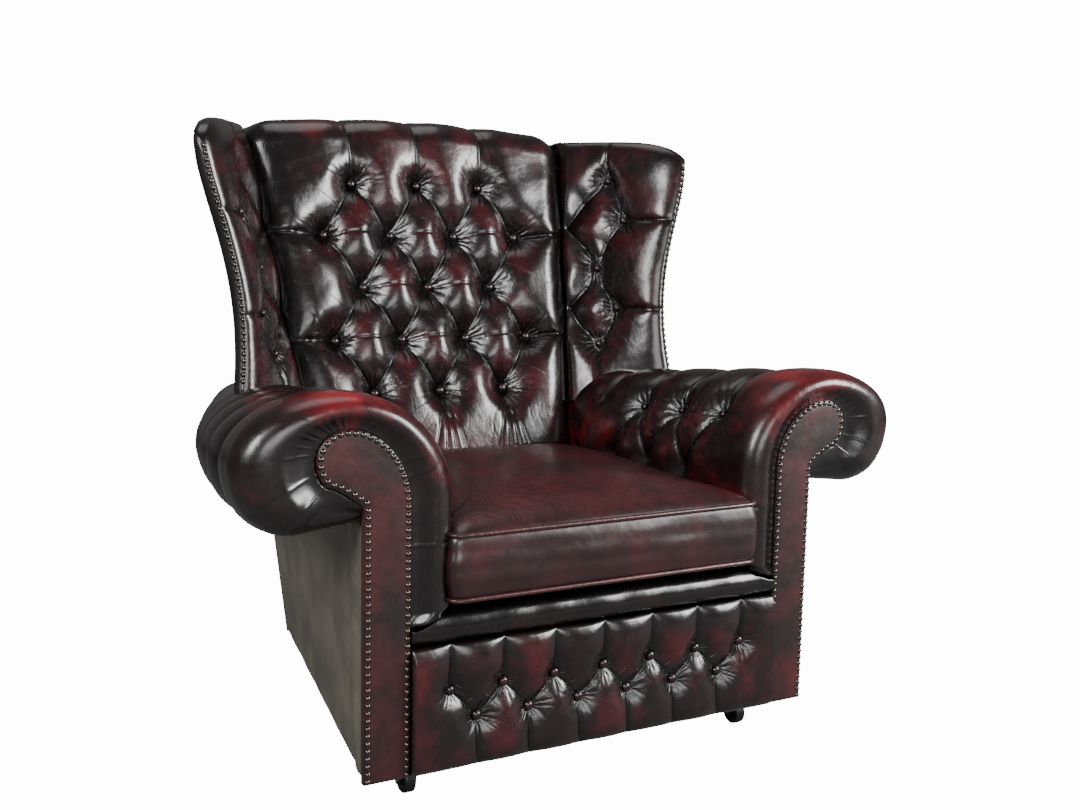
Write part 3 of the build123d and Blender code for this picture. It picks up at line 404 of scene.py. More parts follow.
def tufting(u, v, buttons, pleats, seed, dent=0.5, dent_size=17, wrinkle=0.06, wrinkle_size=26, dip=0.32,
            shallow_row=None):
    """Height of the stuffing, 0 in the pleats and 1 on the crowns, and the darkening of the folds: dye left
    in them and painted shade in the pleats and button dents.

    Each pleat is a crisp crease that the leather rolls into, given as its ends, its depth as a share
    of the rise, and the width of the roll. Round each button the leather sinks and is gathered in
    short radial wrinkles."""
    height, fold_dye_and_shade = np.ones_like(u), np.zeros_like(u)
    for ends, share, width in pleats:
        away = to_pleat(u, v, ends)
        near = np.clip(away / width, 0, 1)
        far = np.clip(away / (width * 2.0), 0, 1)
        wall = 0.55 * (1 - (1 - near) ** 2) + 0.25 * np.sqrt(1 - (1 - near) ** 2)
        wall += 0.2 * np.sqrt(1 - (1 - far) ** 2)
        height *= 1 - share * (1 - wall)
        height -= 0.1 * share * np.exp(-(away / 2.4) ** 2)
        # A dark line along each pleat: dye left in the crease and painted shade.
        fold_dye_and_shade += share * (0.45 * np.exp(-away / (width * 0.16)) + 1.1 * np.exp(-(away / 2.6) ** 2))
    rng = np.random.default_rng(seed)
    for bu, bv in buttons:
        du, dv = u - bu, v - bv
        away = np.hypot(du, dv)
        close = away < 110
        angle = np.arctan2(dv[close], du[close])
        near = away[close]
        phase = rng.uniform(0, 2 * math.pi, 6)
        count = int(rng.integers(14, 20))
        wander = 0.16 * np.sin(2 * angle + phase[0]) + 0.12 * np.sin(5 * angle + phase[1]) + 0.003 * near
        crease = 1 - np.abs(np.sin(count * (angle + wander) * 0.5 + phase[2]))
        length = 0.85 + 0.4 * np.sin(3 * angle + phase[3]) + 0.3 * np.sin(7 * angle + phase[4])
        length *= wrinkle_size
        envelope = np.exp(-(np.maximum(near - 12, 0) / length) ** 2) * smooth_step(near, 5, 14)
        height[close] -= wrinkle * crease ** 2 * envelope
        hollow = dip * (0.3 if bv == shallow_row else 1.0)
        height[close] -= dent * np.exp(-(near / dent_size) ** 1.2) + hollow * np.exp(-(near / 44) ** 2)
        # Dark in each button dent and its wrinkles: painted shade, with dye left in them.
        fold_dye_and_shade[close] += 1.0 * np.exp(-(near / (dent_size * 0.9)) ** 1.5) + 0.35 * crease ** 2 * envelope
    return height, np.clip(fold_dye_and_shade, 0, 1.5)


def to_button(u, v, buttons):
    """The way from the nearest button, as two columns."""
    ways = np.array([(u - bu, v - bv) for bu, bv in buttons])
    nearest = np.argmin(np.hypot(ways[:, 0], ways[:, 1]), axis=0)
    return ways[nearest, :, np.arange(len(u))]


def fine_creases(a, b, spacing, seed, slant):
    """Long thin creases that cross a worn surface, between 0 and 1."""
    rng = np.random.default_rng(seed)
    total = np.zeros_like(a)
    for turn in slant:
        along = a * math.cos(turn) + b * math.sin(turn)
        across = b * math.cos(turn) - a * math.sin(turn)
        bend = spacing * 0.45 * np.sin(along / (spacing * 2.3) + rng.uniform(0, 6))
        bend += spacing * 0.3 * np.sin(along / (spacing * 0.9) + rng.uniform(0, 6))
        lines = 1 - np.abs(np.sin((across + bend) * math.pi / spacing))
        patch = np.clip(waves(a, b, spacing * 4, int(rng.integers(1, 999))) * 0.8 + 0.1, 0, 1)
        total += lines ** 9 * patch
    return np.clip(total, 0, 1)


# Tufted back

# On the back, u runs across and v up the raked plane from the lowest row of buttons.
rake = math.radians(17.4)
back_origin = (589, 513)
button_pitch, row_pitch = 131, 99
cell = button_pitch / 2
top_row = 4 * row_pitch
back_rise, back_lift = 28, 6
arc_start, arc_radius = 473, 30
back_foot = -116
crest_run, crest_drop = 42, 16
back_buttons = [((i - (3 + row % 2 - 1) / 2) * button_pitch, row * row_pitch) for row in range(5)
                for i in range(3 + row % 2)]

# The chair widens and leans back from its base to its top.
base_height, base_to_top = 48, 952
rear_depth, rear_lean = 722, 93
rear_half_width, rear_spread = 256, 94


def back_side_x(z):
    """Half the width of the inside back at a height."""
    return 262 + 0.1175 * (z - 424)


def rear_plane(z):
    """Depth of the outside back at a height."""
    return rear_depth + (z - base_height) / base_to_top * rear_lean


def rear_half(z):
    """Half the width of the outside back at a height."""
    return rear_half_width + (z - base_height) / base_to_top * rear_spread


def back_pleats():
    lines = []
    for u, v in back_buttons:
        for du in (-cell, cell):
            if any(abs(u + du - p) < 1 and abs(v + row_pitch - q) < 1 for p, q in back_buttons):
                lines.append((((u, v), (u + du, v + row_pitch)), 0.75, 60))
        if 0 < v < top_row and any(abs(u + button_pitch - p) < 1 and v == q for p, q in back_buttons):
            lines.append((((u, v), (u + button_pitch, v + 4)), 0.09, 6))
        if v == top_row:
            lines.append((((u, v), (u * 1.04, v + 92)), 0.36, 60))
            lines.append((((u, v), (u * 1.05, v + 180)), 0.24, 9))
        if v == 0:
            lines.append((((u, v), (u, v - 55)), 0.35, 34))
            for lean in (-46, -18, 6, 30):
                lines.append((((u, v), (u + lean, v - 150)), 0.08, 7))
        if abs(u) > 190:
            lines.append((((u, v), (math.copysign(250, u), v)), 0.45, 34))
            lines.append((((u, v), (math.copysign(330, u), v)), 0.22, 10))
    return lines


def back_place(s, t):
    """The raked front, the roll over the crest, and the run down to the outside back."""
    quarter = math.pi / 2 - rake
    straight = arc_start - back_foot
    over = arc_radius * quarter
    total = straight + over + crest_run + crest_drop
    run = t * total
    v = run + back_foot
    turned = np.clip((run - straight) / arc_radius, 0, quarter)
    tail = np.clip(run - straight - over, 0, crest_run)
    drop = np.clip(run - straight - over - crest_run, 0, crest_drop)
    lean = rake + turned
    base_run = np.minimum(run, straight) + back_foot
    lift_y, lift_z = back_lift * math.cos(rake), back_lift * math.sin(rake)
    centre_y = back_origin[0] + arc_start * math.sin(rake) - lift_y + arc_radius * math.cos(rake)
    centre_z = back_origin[1] + arc_start * math.cos(rake) + lift_z - arc_radius * math.sin(rake)
    rolled = run > straight
    y = np.where(rolled, centre_y - arc_radius * np.cos(lean),
                 back_origin[0] + base_run * math.sin(rake) - lift_y)
    z = np.where(rolled, centre_z + arc_radius * np.sin(lean),
                 back_origin[1] + base_run * math.cos(rake) + lift_z)
    normal_y = np.where(rolled, -np.cos(lean), -math.cos(rake))
    normal_z = np.where(rolled, np.sin(lean), math.sin(rake))
    y = y + tail
    half = back_side_x(np.minimum(z, 985))
    u = (s * 2 - 1) * half
    field, fold_dye_and_shade = tufting(u, v, back_buttons, back_pleats(), 5, shallow_row=top_row)
    crest = smooth_step(v, 395, 470)
    field = field + (np.maximum(field, 0.8) - field) * crest * 0.6
    edge = np.clip((half - np.abs(u)) / 58, 0, 1)
    round_edge = 0.7 * (1 - (1 - edge) ** 2) + 0.3 * np.sqrt(1 - (1 - edge) ** 2)
    field = field * (0.25 + 0.75 * round_edge) - 0.35 * (1 - round_edge)
    soft = 1.4 * waves(u, v, 90, 3) * np.clip(1 - fold_dye_and_shade, 0, 1)
    creases = fine_creases(u, v, 17, 8, (1.2, 1.75)) * smooth_step(-v, -60, 60)
    rise = back_rise * field + soft * 0.8 - 0.5 * creases
    fade = 1 - smooth_step(run, straight + over + 10, total)
    rise = rise * fade + 17 * (1 - fade)
    y = y + normal_y * rise + 6 * drop / crest_drop
    z = z + normal_z * rise - drop
    bow = 19 * (u / 330) ** 2 * smooth_step(v, 330, 470)
    z = z - bow
    # Painted shade where the back rounds off at its sides and towards the wings, on top of the dye and
    # painted shade of the folds.
    shade = fold_dye_and_shade + 0.7 * (1 - round_edge) + 0.25 * smooth_step(np.abs(u), 190, 262)
    return u, y, z, shade, to_button(u, v, back_buttons)


deck_rear, deck_top = 525, 285
back_foot_line = 577.5


def back_backing(x, y, z):
    """The rim of the back goes down to the deck, in behind the wings, and into the outside back."""
    if z + y * math.tan(rake) < back_foot_line:
        return x, deck_rear, deck_top - 3
    return x * 0.985, min(max(y + 24, 560 + (z - 400) * 0.3), rear_plane(z) - 14), min(z, 975)


padded_sheet("inside_back", 290, 320, back_place, chair, tufted_leather, "oxblood_leather", back=back_backing)


# Wings

# A place on a wing is a share of the way from its crease with the back to its front edge, and a height.
wing_top_height, wing_foot_height = 992, 486
front_foot, front_top = 556, 947
wing_rise = 17
wing_buttons = ((0.40, 911), (0.56, 834), (0.34, 740), (0.54, 666), (0.335, 594))


def wing_front(z):
    """The front edge in plan at a height: bowed inwards at its middle, and upright near the top."""
    share = (z - front_foot) / (front_top - front_foot)
    upright = np.clip(1 - (np.maximum(share, 0) / 0.9) ** 2.6, 0, 1)
    bow = 26 * 4 * np.maximum(share * (1 - share), -0.02) * upright
    return 418 + 48 * share - bow, 447 + 39 * share + 0.3 * bow


def wing_crease(z):
    """The seam between wing and back, in plan at a height."""
    v = (z - back_origin[1]) / math.cos(rake)
    return back_side_x(z) + 1, back_origin[0] + v * math.sin(rake) - back_lift * math.cos(rake)


def wing_axes(z):
    """The crease, the run from it to the front edge, and the direction of that run, in plan."""
    crease_x, crease_y = wing_crease(z)
    front_x, front_y = wing_front(z)
    run = np.hypot(front_x - crease_x, front_y - crease_y)
    ahead_x, ahead_y = (front_x - crease_x) / run, (front_y - crease_y) / run
    return crease_x, crease_y, run, ahead_x, ahead_y


def wing_top(share):
    """Height of the top seam of the wing from the crease, 0, to the front edge, 1."""
    return wing_top_height - 56 * (1 - np.sqrt(1 - np.clip(share, 0, 1) ** 5.5))


def at_wing(share, z):
    """A place on a wing as millimetres forward of the crease, and height."""
    return share * float(wing_axes(np.float64(z))[2]), z


def wing_pleats():
    w1, w2, w3, w4, w5 = wing_buttons
    c1, c2 = (0.05, 817), (0.05, 660)
    diamonds = ((w1, w2), (w2, w3), (w3, w4), (w4, w5), (w1, c1), (c1, w3), (w3, c2), (c2, w5))
    lines = []
    for a, b in diamonds:
        (au, av), (bu, bv) = at_wing(*a), at_wing(*b)
        bow = 7 if (bu - au) * (1 if av > (w2[1] + w3[1]) / 2 or w4[1] < av < w3[1] else -1) > 0 else -7
        half = ((au + bu) / 2 + bow, (av + bv) / 2)
        lines += [(((au, av), half), 0.75, 48), ((half, (bu, bv)), 0.75, 48)]
    for a, b in ((w1, (0.42, 1010)), (w2, (1.3, 842)), (w4, (1.3, 668)), (w5, (0.33, 480))):
        lines.append(((at_wing(*a), at_wing(*b)), 0.3, 13))
        short = (a[0] + (b[0] - a[0]) * 0.35, a[1] + (b[1] - a[1]) * 0.35)
        lines.append(((at_wing(*a), at_wing(*short)), 0.3, 30))
    return lines


def wing_inside(seed):
    lines = wing_pleats()
    spots = [at_wing(share, z) for share, z in wing_buttons]

    def place(s, t):
        # The grid closes up towards the front edge and the top, where the leather turns.
        near_front = np.sin(np.clip((s - 0.8) / 0.2, 0, 1) * math.pi / 2)
        near_top = np.sin(np.clip((t - 0.75) / 0.17, 0, 1) * math.pi / 2)
        share = np.where(s < 0.8, s / 0.8 * 0.86, 0.86 + 0.14 * near_front)
        level = np.where(t < 0.75, t / 0.75 * 0.93, 0.93 + 0.07 * near_top)
        roof = np.clip((t - 0.92) / 0.08, 0, 1)
        z = wing_foot_height + (wing_top(share) - 2 - wing_foot_height) * level
        crease_x, crease_y, run, ahead_x, ahead_y = wing_axes(z)
        forward = share * run
        slope = 4 - 11 * share
        field, fold_dye_and_shade = tufting(forward, z, spots, lines, seed, 0.4, 15, 0.05, 20, 0.2)
        field = np.maximum(field, -0.12)
        near_crease = np.clip(forward / 26, 0, 1)
        round_crease = np.sqrt(np.clip(1 - (1 - near_crease) ** 2, 0, 1))
        field = field * (0.2 + 0.8 * round_crease)
        soft = 1.0 * waves(forward, z, 80, seed + 1) * np.clip(1 - fold_dye_and_shade, 0, 1)
        full = np.sqrt(np.clip(1 - share ** 7, 0, 1)) * np.sqrt(np.clip(1 - level ** 22, 0, 1))
        out = slope - (wing_rise * field + soft) * full + (2 - slope) * (1 - full)
        x = crease_x + forward * ahead_x - ahead_y * out
        y = crease_y + forward * ahead_y + ahead_x * out
        end_x, end_y = cover_line(1 - share, wing_top(share) - 4)
        x, y = x + (end_x - x) * roof, y + (end_y - y) * roof
        z = z + 1.0 * np.sin(roof * math.pi) - 3 * roof ** 2
        # Painted shade in the crease with the back and where the leather turns round the front edge and top,
        # on top of the folds.
        shade = fold_dye_and_shade * (0.5 + 0.5 * full) + 0.6 * (1 - round_crease) + 0.35 * (1 - full)
        return x, y, z, shade, to_button(forward, z, spots) * 1.25

    return place


def cover_line(s, z):
    """The outer face of the wing in plan, from the front edge, 0, to the outside back, 1."""
    z = np.minimum(z, wing_top_height)
    front_x, front_y = wing_front(np.minimum(z, 950))
    ahead_x, ahead_y = wing_axes(z)[3:]
    rear_x, rear_y = rear_half(z), rear_plane(z) - 9
    turn = np.clip(s / 0.06, 0, 1) * math.pi / 2
    half = 19 - 4 * smooth_step(z, 930, 975)
    edge_x = front_x - 14 * ahead_x * (1 - np.cos(turn)) - ahead_y * (2 + half * np.sin(turn))
    edge_y = front_y - 14 * ahead_y * (1 - np.cos(turn)) + ahead_x * (2 + half * np.sin(turn))
    share = np.clip((s - 0.06) / 0.94, 0, 1)
    return edge_x + (rear_x - edge_x) * share, edge_y + (rear_y - edge_y) * share


def wing_outside(s, t):
    """The smooth outer cover, from the nail line round to the outside back."""
    s = np.where(s < 0.15, s * 0.4, 0.06 + (s - 0.15) / 0.85 * 0.94)
    top = wing_top(1 - s) - 3
    z = wing_foot_height + t * (top - wing_foot_height)
    x, y = cover_line(s, z)
    over = np.sqrt(np.clip(1 - smooth_step(t, 0.965, 1.0) ** 2, 0, 1))
    puff = 3.0 * np.sin(np.pi * np.clip((s - 0.06) / 0.94, 0, 1)) * over - 5 * (1 - over)
    return x + puff * 0.9, y - puff * 0.2, z, 0.3 + 0.4 * smooth_step(t, 0.9, 1)


def wing_backing(x, y, z):
    """The rim of the inner wing turns in behind the leather."""
    return x - 4, y + 3, z - 5


def cover_backing(x, y, z):
    """The rim of the outer cover turns in behind it."""
    return x - 7, y + 3, z - 1


for side, word in sides:
    padded_sheet("inside_wing_" + word, 150, 230, wing_inside(21 + side), chair, tufted_leather,
                 "oxblood_leather", side, wing_backing)
    padded_sheet("outside_wing_" + word, 60, 90, wing_outside, chair, cover_leather,
                 "outer_leather", side, cover_backing, pad=0.9)


# Arms

# An arm is drawn as sections at rising depths. t runs along a section from the inner foot,
# over the roll, to the outer corner under it; pleats and buttons count 700 mm along it.
pleat_depths = (125, 240, 355, 470, 585)
arm_foot, arm_start = 262, 30
girth = 700
row_t, lower_t, under_t = 0.24 + 0.29 * 0.42, 0.215, 0.93
facing_inner, facing_outer = 320, 389
# Places on a facing's scroll: the start of its curve, its crown, its widest place and its underside.
scroll_start = 440
scroll_crown, scroll_reach, scroll_under, scroll_corner = (413, 549), (456, 508), (432, 470), (391, 444)


def side_x(depth, z):
    """The side panel's distance from the middle, between the facing and the outside back."""
    return facing_outer + depth / rear_plane(z) * (rear_half(z) - facing_outer)


def arm_corners(depth):
    """Corner points of the arm section at a depth."""
    d = np.maximum(depth, 0)
    run = np.maximum(depth - arm_start, 0)
    reach = 567 - 0.10 * run - 0.000185 * run * run
    inner = 252 + 0.02 * d
    shoulder = 445 - 0.05 * d
    top_x, top_z = 420 - 0.125 * d, 600 - 0.105 * d
    outer_z = 507 - 0.10 * d
    under_x, under_z = reach - 85, 408 - 0.045 * d
    corner_z = under_z + 12
    corner_x = side_x(d, corner_z) - 9
    return inner, shoulder, top_x, top_z, reach, outer_z, under_x, under_z, corner_x, corner_z


def section(corners, t):
    """A point and its outward direction at t along the section, from the inner foot to the outer corner."""
    inner, shoulder, top_x, top_z, reach, outer_z, under_x, under_z, corner_x, corner_z = corners
    marks = (0, 0.24, 0.53, 0.75, 0.92, 1.0)
    x, z = np.zeros_like(t), np.zeros_like(t)
    nx, nz = np.zeros_like(t), np.zeros_like(t)
    for i, (low, high) in enumerate(zip(marks, marks[1:])):
        here = (t >= low) & (t <= high)
        q = np.clip((t - low) / (high - low), 0, 1)
        angle = q * math.pi / 2
        if i == 0:
            px, pz = inner, arm_foot + (shoulder - arm_foot) * q
            ox, oz = -1.0 + 0 * q, 0 * q
        elif i == 1:
            a, b = top_x - inner, top_z - shoulder
            px, pz = top_x - a * np.cos(angle), shoulder + b * np.sin(angle)
            ox, oz = -b * np.cos(angle), a * np.sin(angle)
        elif i == 2:
            a, b = reach - top_x, top_z - outer_z
            px, pz = top_x + a * np.sin(angle), outer_z + b * np.cos(angle)
            ox, oz = b * np.sin(angle), a * np.cos(angle)
        elif i == 3:
            a, b = reach - under_x, outer_z - under_z
            px, pz = under_x + a * np.cos(angle), outer_z - b * np.sin(angle)
            ox, oz = b * np.cos(angle), -a * np.sin(angle)
        else:
            px, pz = under_x + (corner_x - under_x) * q, under_z + (corner_z - under_z) * q
            ox, oz = 0 * q, -1.0 + 0 * q
        size = np.hypot(ox, oz)
        x, z = np.where(here, px, x), np.where(here, pz, z)
        nx, nz = np.where(here, ox / size, nx), np.where(here, oz / size, nz)
    return x, z, nx, nz


# The front roll grows from the edge of the scroll facing to the full section of the arm.
facing_corners = (facing_inner + 2, scroll_start, *scroll_crown, *scroll_reach, *scroll_under,
                  scroll_corner[0] + 1, scroll_corner[1])
roll_length, roll_share = 770, 0.24
roll_core, arm_end = (395, 480), (272, 440)
arm_rise = 22
# Short gathers at the nail line as a place and a length, and long folds with their bend too.
roll_ridges = ((0.30, 0.5), (0.345, 0.35), (0.40, 0.3), (0.43, 0.45), (0.47, 0.25), (0.535, 0.3), (0.56, 0.5),
               (0.585, 0.4), (0.605, 0.55), (0.63, 0.35), (0.655, 0.45), (0.69, 0.3), (0.715, 0.45))
long_folds = ((0.80, 0.04, 0.85), (0.87, 0.03, 0.8), (0.16, 0.012, 0.7))


def front_creases(t, lead, seed):
    """Short gathers at the nail line of the front roll, and the long folds that curve under it."""
    rng = np.random.default_rng(seed)
    total = np.zeros_like(t)
    for middle, length in roll_ridges:
        middle = middle + rng.uniform(-0.008, 0.008)
        lean = rng.uniform(-0.03, 0.03)
        mark = np.exp(-((t - middle - lean * (1 - lead)) * 900 / 3.2) ** 2)
        total += mark * smooth_step(lead, 1 - length, 1.05 - length * 0.4) * 2.4
    for middle, bend, length in long_folds:
        mark = np.exp(-np.abs((t - middle - bend * (1 - lead) ** 1.5) * 900 / 2.6) ** 1.4)
        total += mark * smooth_step(lead, 1 - length, 1.1 - length) * 2.6
    return total


def arm_surface(seed):
    spots = [(d, row_t * girth) for d in pleat_depths[:3]]
    lower = [((a + b) / 2, lower_t * girth) for a, b in zip(pleat_depths, pleat_depths[1:])]
    lines = []
    for d in pleat_depths[:4]:
        over = ((d, row_t * girth), (d, under_t * girth))
        lines += [(over, 0.35, 9), (over, 0.5, 56)]
    for d, v in spots:
        lines += [(((d, v), other), 0.75, 50) for other in lower if abs(abs(other[0] - d) - 57.5) < 1]
        lines += [(((d, v), (d - reach, v - fall)), 0.1, 7) for fall, reach in ((56, 70), (32, 78), (10, 66))]
    lines += [((other, (other[0], -60)), 0.6, 34) for other in lower]

    def place(s, t):
        lead = np.clip(1 - s / roll_share, 0, 1)
        front = s < roll_share
        depth = arm_start + np.clip((s - roll_share) / (1 - roll_share), 0, 1) * roll_length
        full = arm_corners(depth)
        growth = np.where(front, np.clip(np.cos(lead * math.pi * 0.5), 0, 1) ** 0.8, 1.0)
        bulge = 44 - 26 * smooth_step(t, 0.84, 0.99)
        forward = arm_start - bulge * np.sin(np.clip(lead / 0.72, 0, 1) * math.pi / 2)
        forward = forward + (bulge - 28) * smooth_step(lead, 0.72, 1.0)
        depth_here = np.where(front, forward, depth)
        corners = [small + growth * (large - small) for small, large in zip(facing_corners, full)]
        x, z, nx, nz = section(corners, t)
        z = z + 20 * growth * smooth_step(-z, -310, -262) * smooth_step(-depth_here, -70, -30)
        v = t * girth
        field, fold_dye_and_shade = tufting(depth_here, v, spots, lines, seed, dent=0.5, dent_size=18, wrinkle=0.07,
                              wrinkle_size=30)
        hold = smooth_step(depth_here, 20, 70)
        rise = (arm_rise * (field - 1) + 3) * hold
        ridges = np.where(front, front_creases(t, lead, seed + 7), 0)
        rise = rise - ridges
        rise = rise + 1.2 * waves(depth_here, v, 110, seed + 3) * np.clip(1 - fold_dye_and_shade, 0, 1) * (1 - lead)
        tuck = smooth_step(-t, -0.03, 0)
        x, z = x + nx * (rise - 12 * tuck), z + nz * rise
        depth_here = np.minimum(depth_here, rear_plane(z) - 9)
        closing = 0.96 * np.clip((s - 0.985) / 0.015, 0, 1)
        x, z = x + (arm_end[0] - x) * closing, z + (arm_end[1] - z) * closing
        # Dark in the folds, from dye and painted shade; painted shade in the gathers, under the roll and down
        # its inner side; darker at the facing and on the outer side; worn red on the front of the roll.
        shade = fold_dye_and_shade * hold + 0.5 * smooth_step(lead, 0.6, 1) + 0.3 * smooth_step(t, 0.78, 0.95)
        shade = shade + 0.3 * ridges
        shade = shade + 0.35 * tuck + 0.3 * smooth_step(-t, -0.24, -0.05) + 0.35 * smooth_step(t, 0.56, 0.72)
        shade = shade - 0.75 * np.exp(-((t - 0.49) / 0.10) ** 2) * np.exp(-((depth_here - 22) / 46) ** 2)
        return x, depth_here, z, shade, to_button(depth_here, v, spots) * (5 - 4 * hold[:, None])

    return place


def arm_backing(x, y, z):
    """The rim turns in towards the middle of the roll."""
    if y < 40:
        return x + (roll_core[0] - x) * 0.05, y + 10, z + (roll_core[1] - z) * 0.05
    return x + (2 if x < 275 else -3), y, z + 1


for side, word in sides:
    padded_sheet("arm_" + word, 250, 280, arm_surface(41 + side), chair, arm_leather, "oxblood_leather",
                 side, arm_backing, pad=0.85)


# Scroll facings

base_foot = 49
facing_thickness = 11


def facing_outline(inset, foot=base_foot):
    """The scroll panel's outline as points, from the inner foot round to the outer foot."""
    inner, outer_x = facing_inner + inset, facing_outer - inset
    top_x, top_z = scroll_crown[0], scroll_crown[1] - inset
    reach, outer_z = scroll_reach[0] - inset, scroll_reach[1]
    under_x, under_z = scroll_under[0] - inset, scroll_under[1] + inset
    corner_x, corner_z = scroll_corner[0] - inset, scroll_corner[1] + inset

    def quarter(steps):
        turns = [i / steps * math.pi / 2 for i in range(1, steps + 1)]
        return [(math.cos(turn), math.sin(turn)) for turn in turns]

    rise = top_z - scroll_start
    points = [(inner, foot), (inner, scroll_start)]
    points += [(top_x - (top_x - inner) * c, scroll_start + rise * s) for c, s in quarter(12)]
    points += [(top_x + (reach - top_x) * s, outer_z + (top_z - outer_z) * c) for c, s in quarter(8)]
    points += [(under_x + (reach - under_x) * c, outer_z - (outer_z - under_z) * s) for c, s in quarter(6)]
    return points + [((under_x + corner_x) / 2, (under_z + corner_z) / 2 + 1), (corner_x, corner_z),
                     (outer_x, corner_z - 8), (outer_x, foot)]


def facing(word, side):
    """A leather-covered board, with its front edge rounded in three steps."""
    bm = bmesh.new()
    ring = [bm.verts.new((x * side, 0, z)) for x, z in facing_outline(0)]
    face = bm.faces.new(ring)
    made = bmesh.ops.extrude_face_region(bm, geom=[face])["geom"]
    for vert in (g for g in made if isinstance(g, bmesh.types.BMVert)):
        vert.co.y += facing_thickness
    bmesh.ops.recalc_face_normals(bm, faces=bm.faces)
    front = min(bm.faces, key=lambda f: f.calc_center_median().y)
    for width, depth in ((2.0, 1.2), (4.0, 0.9), (6.0, 0.7)):
        bmesh.ops.inset_region(bm, faces=[front], thickness=width, depth=depth)
    name = "arm_facing_" + word
    finish_piece(bm, name, chair, facing_leather, name, "oxblood_leather", pad=0.9)


for side, word in sides:
    facing(word, side)


# Seat front: tufted apron and the rounded lip above it

apron_foot, apron_top, apron_half = 49.5, 234.5, 318
apron_pitch, upper_buttons, lower_buttons = 86, 165, 121
apron_rise = 16
apron_buttons = [((i - 3) * apron_pitch, upper_buttons) for i in range(7)]
apron_buttons += [((i - 2.5) * apron_pitch, lower_buttons) for i in range(6)]


def apron_lines():
    """Pleats up from the upper buttons, and from the lower ones down and to the two above."""
    lines = []
    for u, v in apron_buttons:
        if v == upper_buttons:
            lines.append((((u, v), (u, 260)), 0.75, 38))
        else:
            for du in (-apron_pitch / 2, apron_pitch / 2):
                lines.append((((u, v), (u + du, upper_buttons)), 0.8, 38))
            lines.append((((u, v), (u, 20)), 0.7, 40))
    return lines


def apron_place(s, t):
    u, v = (s * 2 - 1) * apron_half, apron_foot + t * (apron_top - apron_foot)
    field, fold_dye_and_shade = tufting(u, v, apron_buttons, apron_lines(), 77, dent=0.35, dent_size=11, wrinkle=0.07,
                          wrinkle_size=17, dip=0.1)
    hem = np.clip(np.minimum((v - apron_foot) / 26, (apron_top - v) / 44), 0, 1)
    round_hem = np.sqrt(np.clip(1 - (1 - hem) ** 2, 0, 1))
    height = apron_rise * field * (0.15 + 0.85 * round_hem) + 0.7 * waves(u, v, 70, 9)
    return u, -height, v, fold_dye_and_shade + 0.5 * (1 - round_hem), to_button(u, v, apron_buttons) * 2.6


padded_sheet("front_apron", 330, 110, apron_place, chair, tufted_leather, "oxblood_leather",
             back=lambda x, y, z: (x * 1.01, facing_thickness, z))


lip_half, lip_radius, lip_depth, lip_height, lip_end = 319, 25, 16, 258.5, 284
lip_tuck, lip_foot = 60, 237


def lip_place(s, t):
    """A fat roll along the seat front, tucked in under the cushion."""
    u = (s * 2 - 1) * lip_half
    inner = smooth_step(np.abs(u), 252, 318)
    angle = t * math.pi * 0.86 - 1.15
    gather = 0.8 * waves(u, t * 40, 60, 12)
    y = lip_depth - (lip_radius + gather) * np.cos(angle)
    z = lip_height + (lip_radius + gather * 0.5) * np.sin(angle)
    y = np.where(t > 0.97, lip_tuck, y)
    z = np.where(t > 0.97, lip_end, z)
    z = np.minimum(z, lip_end - 23 * inner)
    # Darker towards the top, where it tucks under the cushion: painted shadow of the cushion.
    return u, y, z, 0.2 + 0.6 * smooth_step(t, 0.3, 0.6)


padded_sheet("front_lip", 200, 40, lip_place, chair, lip_leather, "dark_leather",
             back=lambda x, y, z: (x, lip_tuck - 2, max(z, lip_foot)))


# Seat cushion

crown, cushion_bottom = 40, 292
crown_middle, crown_half_width, crown_half_depth = 249, 262, 273
top_welt, bottom_welt = 394, 301
cushion_half, cushion_front_half = 248, 268
cushion_front, cushion_neck, cushion_rear = -24, 16, 522


def cushion_outline(inset, s):
    """Points round the T-shaped cushion, s from 0 to 1, starting at the middle of the rear."""
    half, front_half = cushion_half - inset, cushion_front_half - inset
    front, neck, rear = cushion_front + inset, cushion_neck + inset, cushion_rear - inset
    right = [(0, rear, 0), (half, rear, 30), (half, neck, 36),
             (front_half, neck - 2, 14), (front_half, front, 36), (0, front, 0)]
    corners = right + [(-x, y, r) for x, y, r in right[-2:0:-1]]
    path = []
    for i, (x, y, r) in enumerate(corners):
        if r == 0:
            path.append((x, y))
            continue
        before, after = corners[i - 1], corners[(i + 1) % len(corners)]
        into = Vector((x - before[0], y - before[1])).normalized()
        out = Vector((after[0] - x, after[1] - y)).normalized()
        turn = into.angle(out)
        room = min(math.dist((x, y), before[:2]), math.dist((x, y), after[:2])) * 0.49
        cut = min(r * math.tan(turn / 2), room)
        for k in range(9):
            q = k / 8
            a = Vector((x, y)) - into * cut
            b, c = Vector((x, y)), Vector((x, y)) + out * cut
            p = a * (1 - q) ** 2 + b * 2 * q * (1 - q) + c * q ** 2
            path.append((p.x, p.y))
    path.append(path[0])
    path = np.array(path)
    steps = np.hypot(*np.diff(path, axis=0).T)
    place = np.concatenate([[0], np.cumsum(steps)]) / steps.sum()
    return np.interp(s, place, path[:, 0]), np.interp(s, place, path[:, 1])


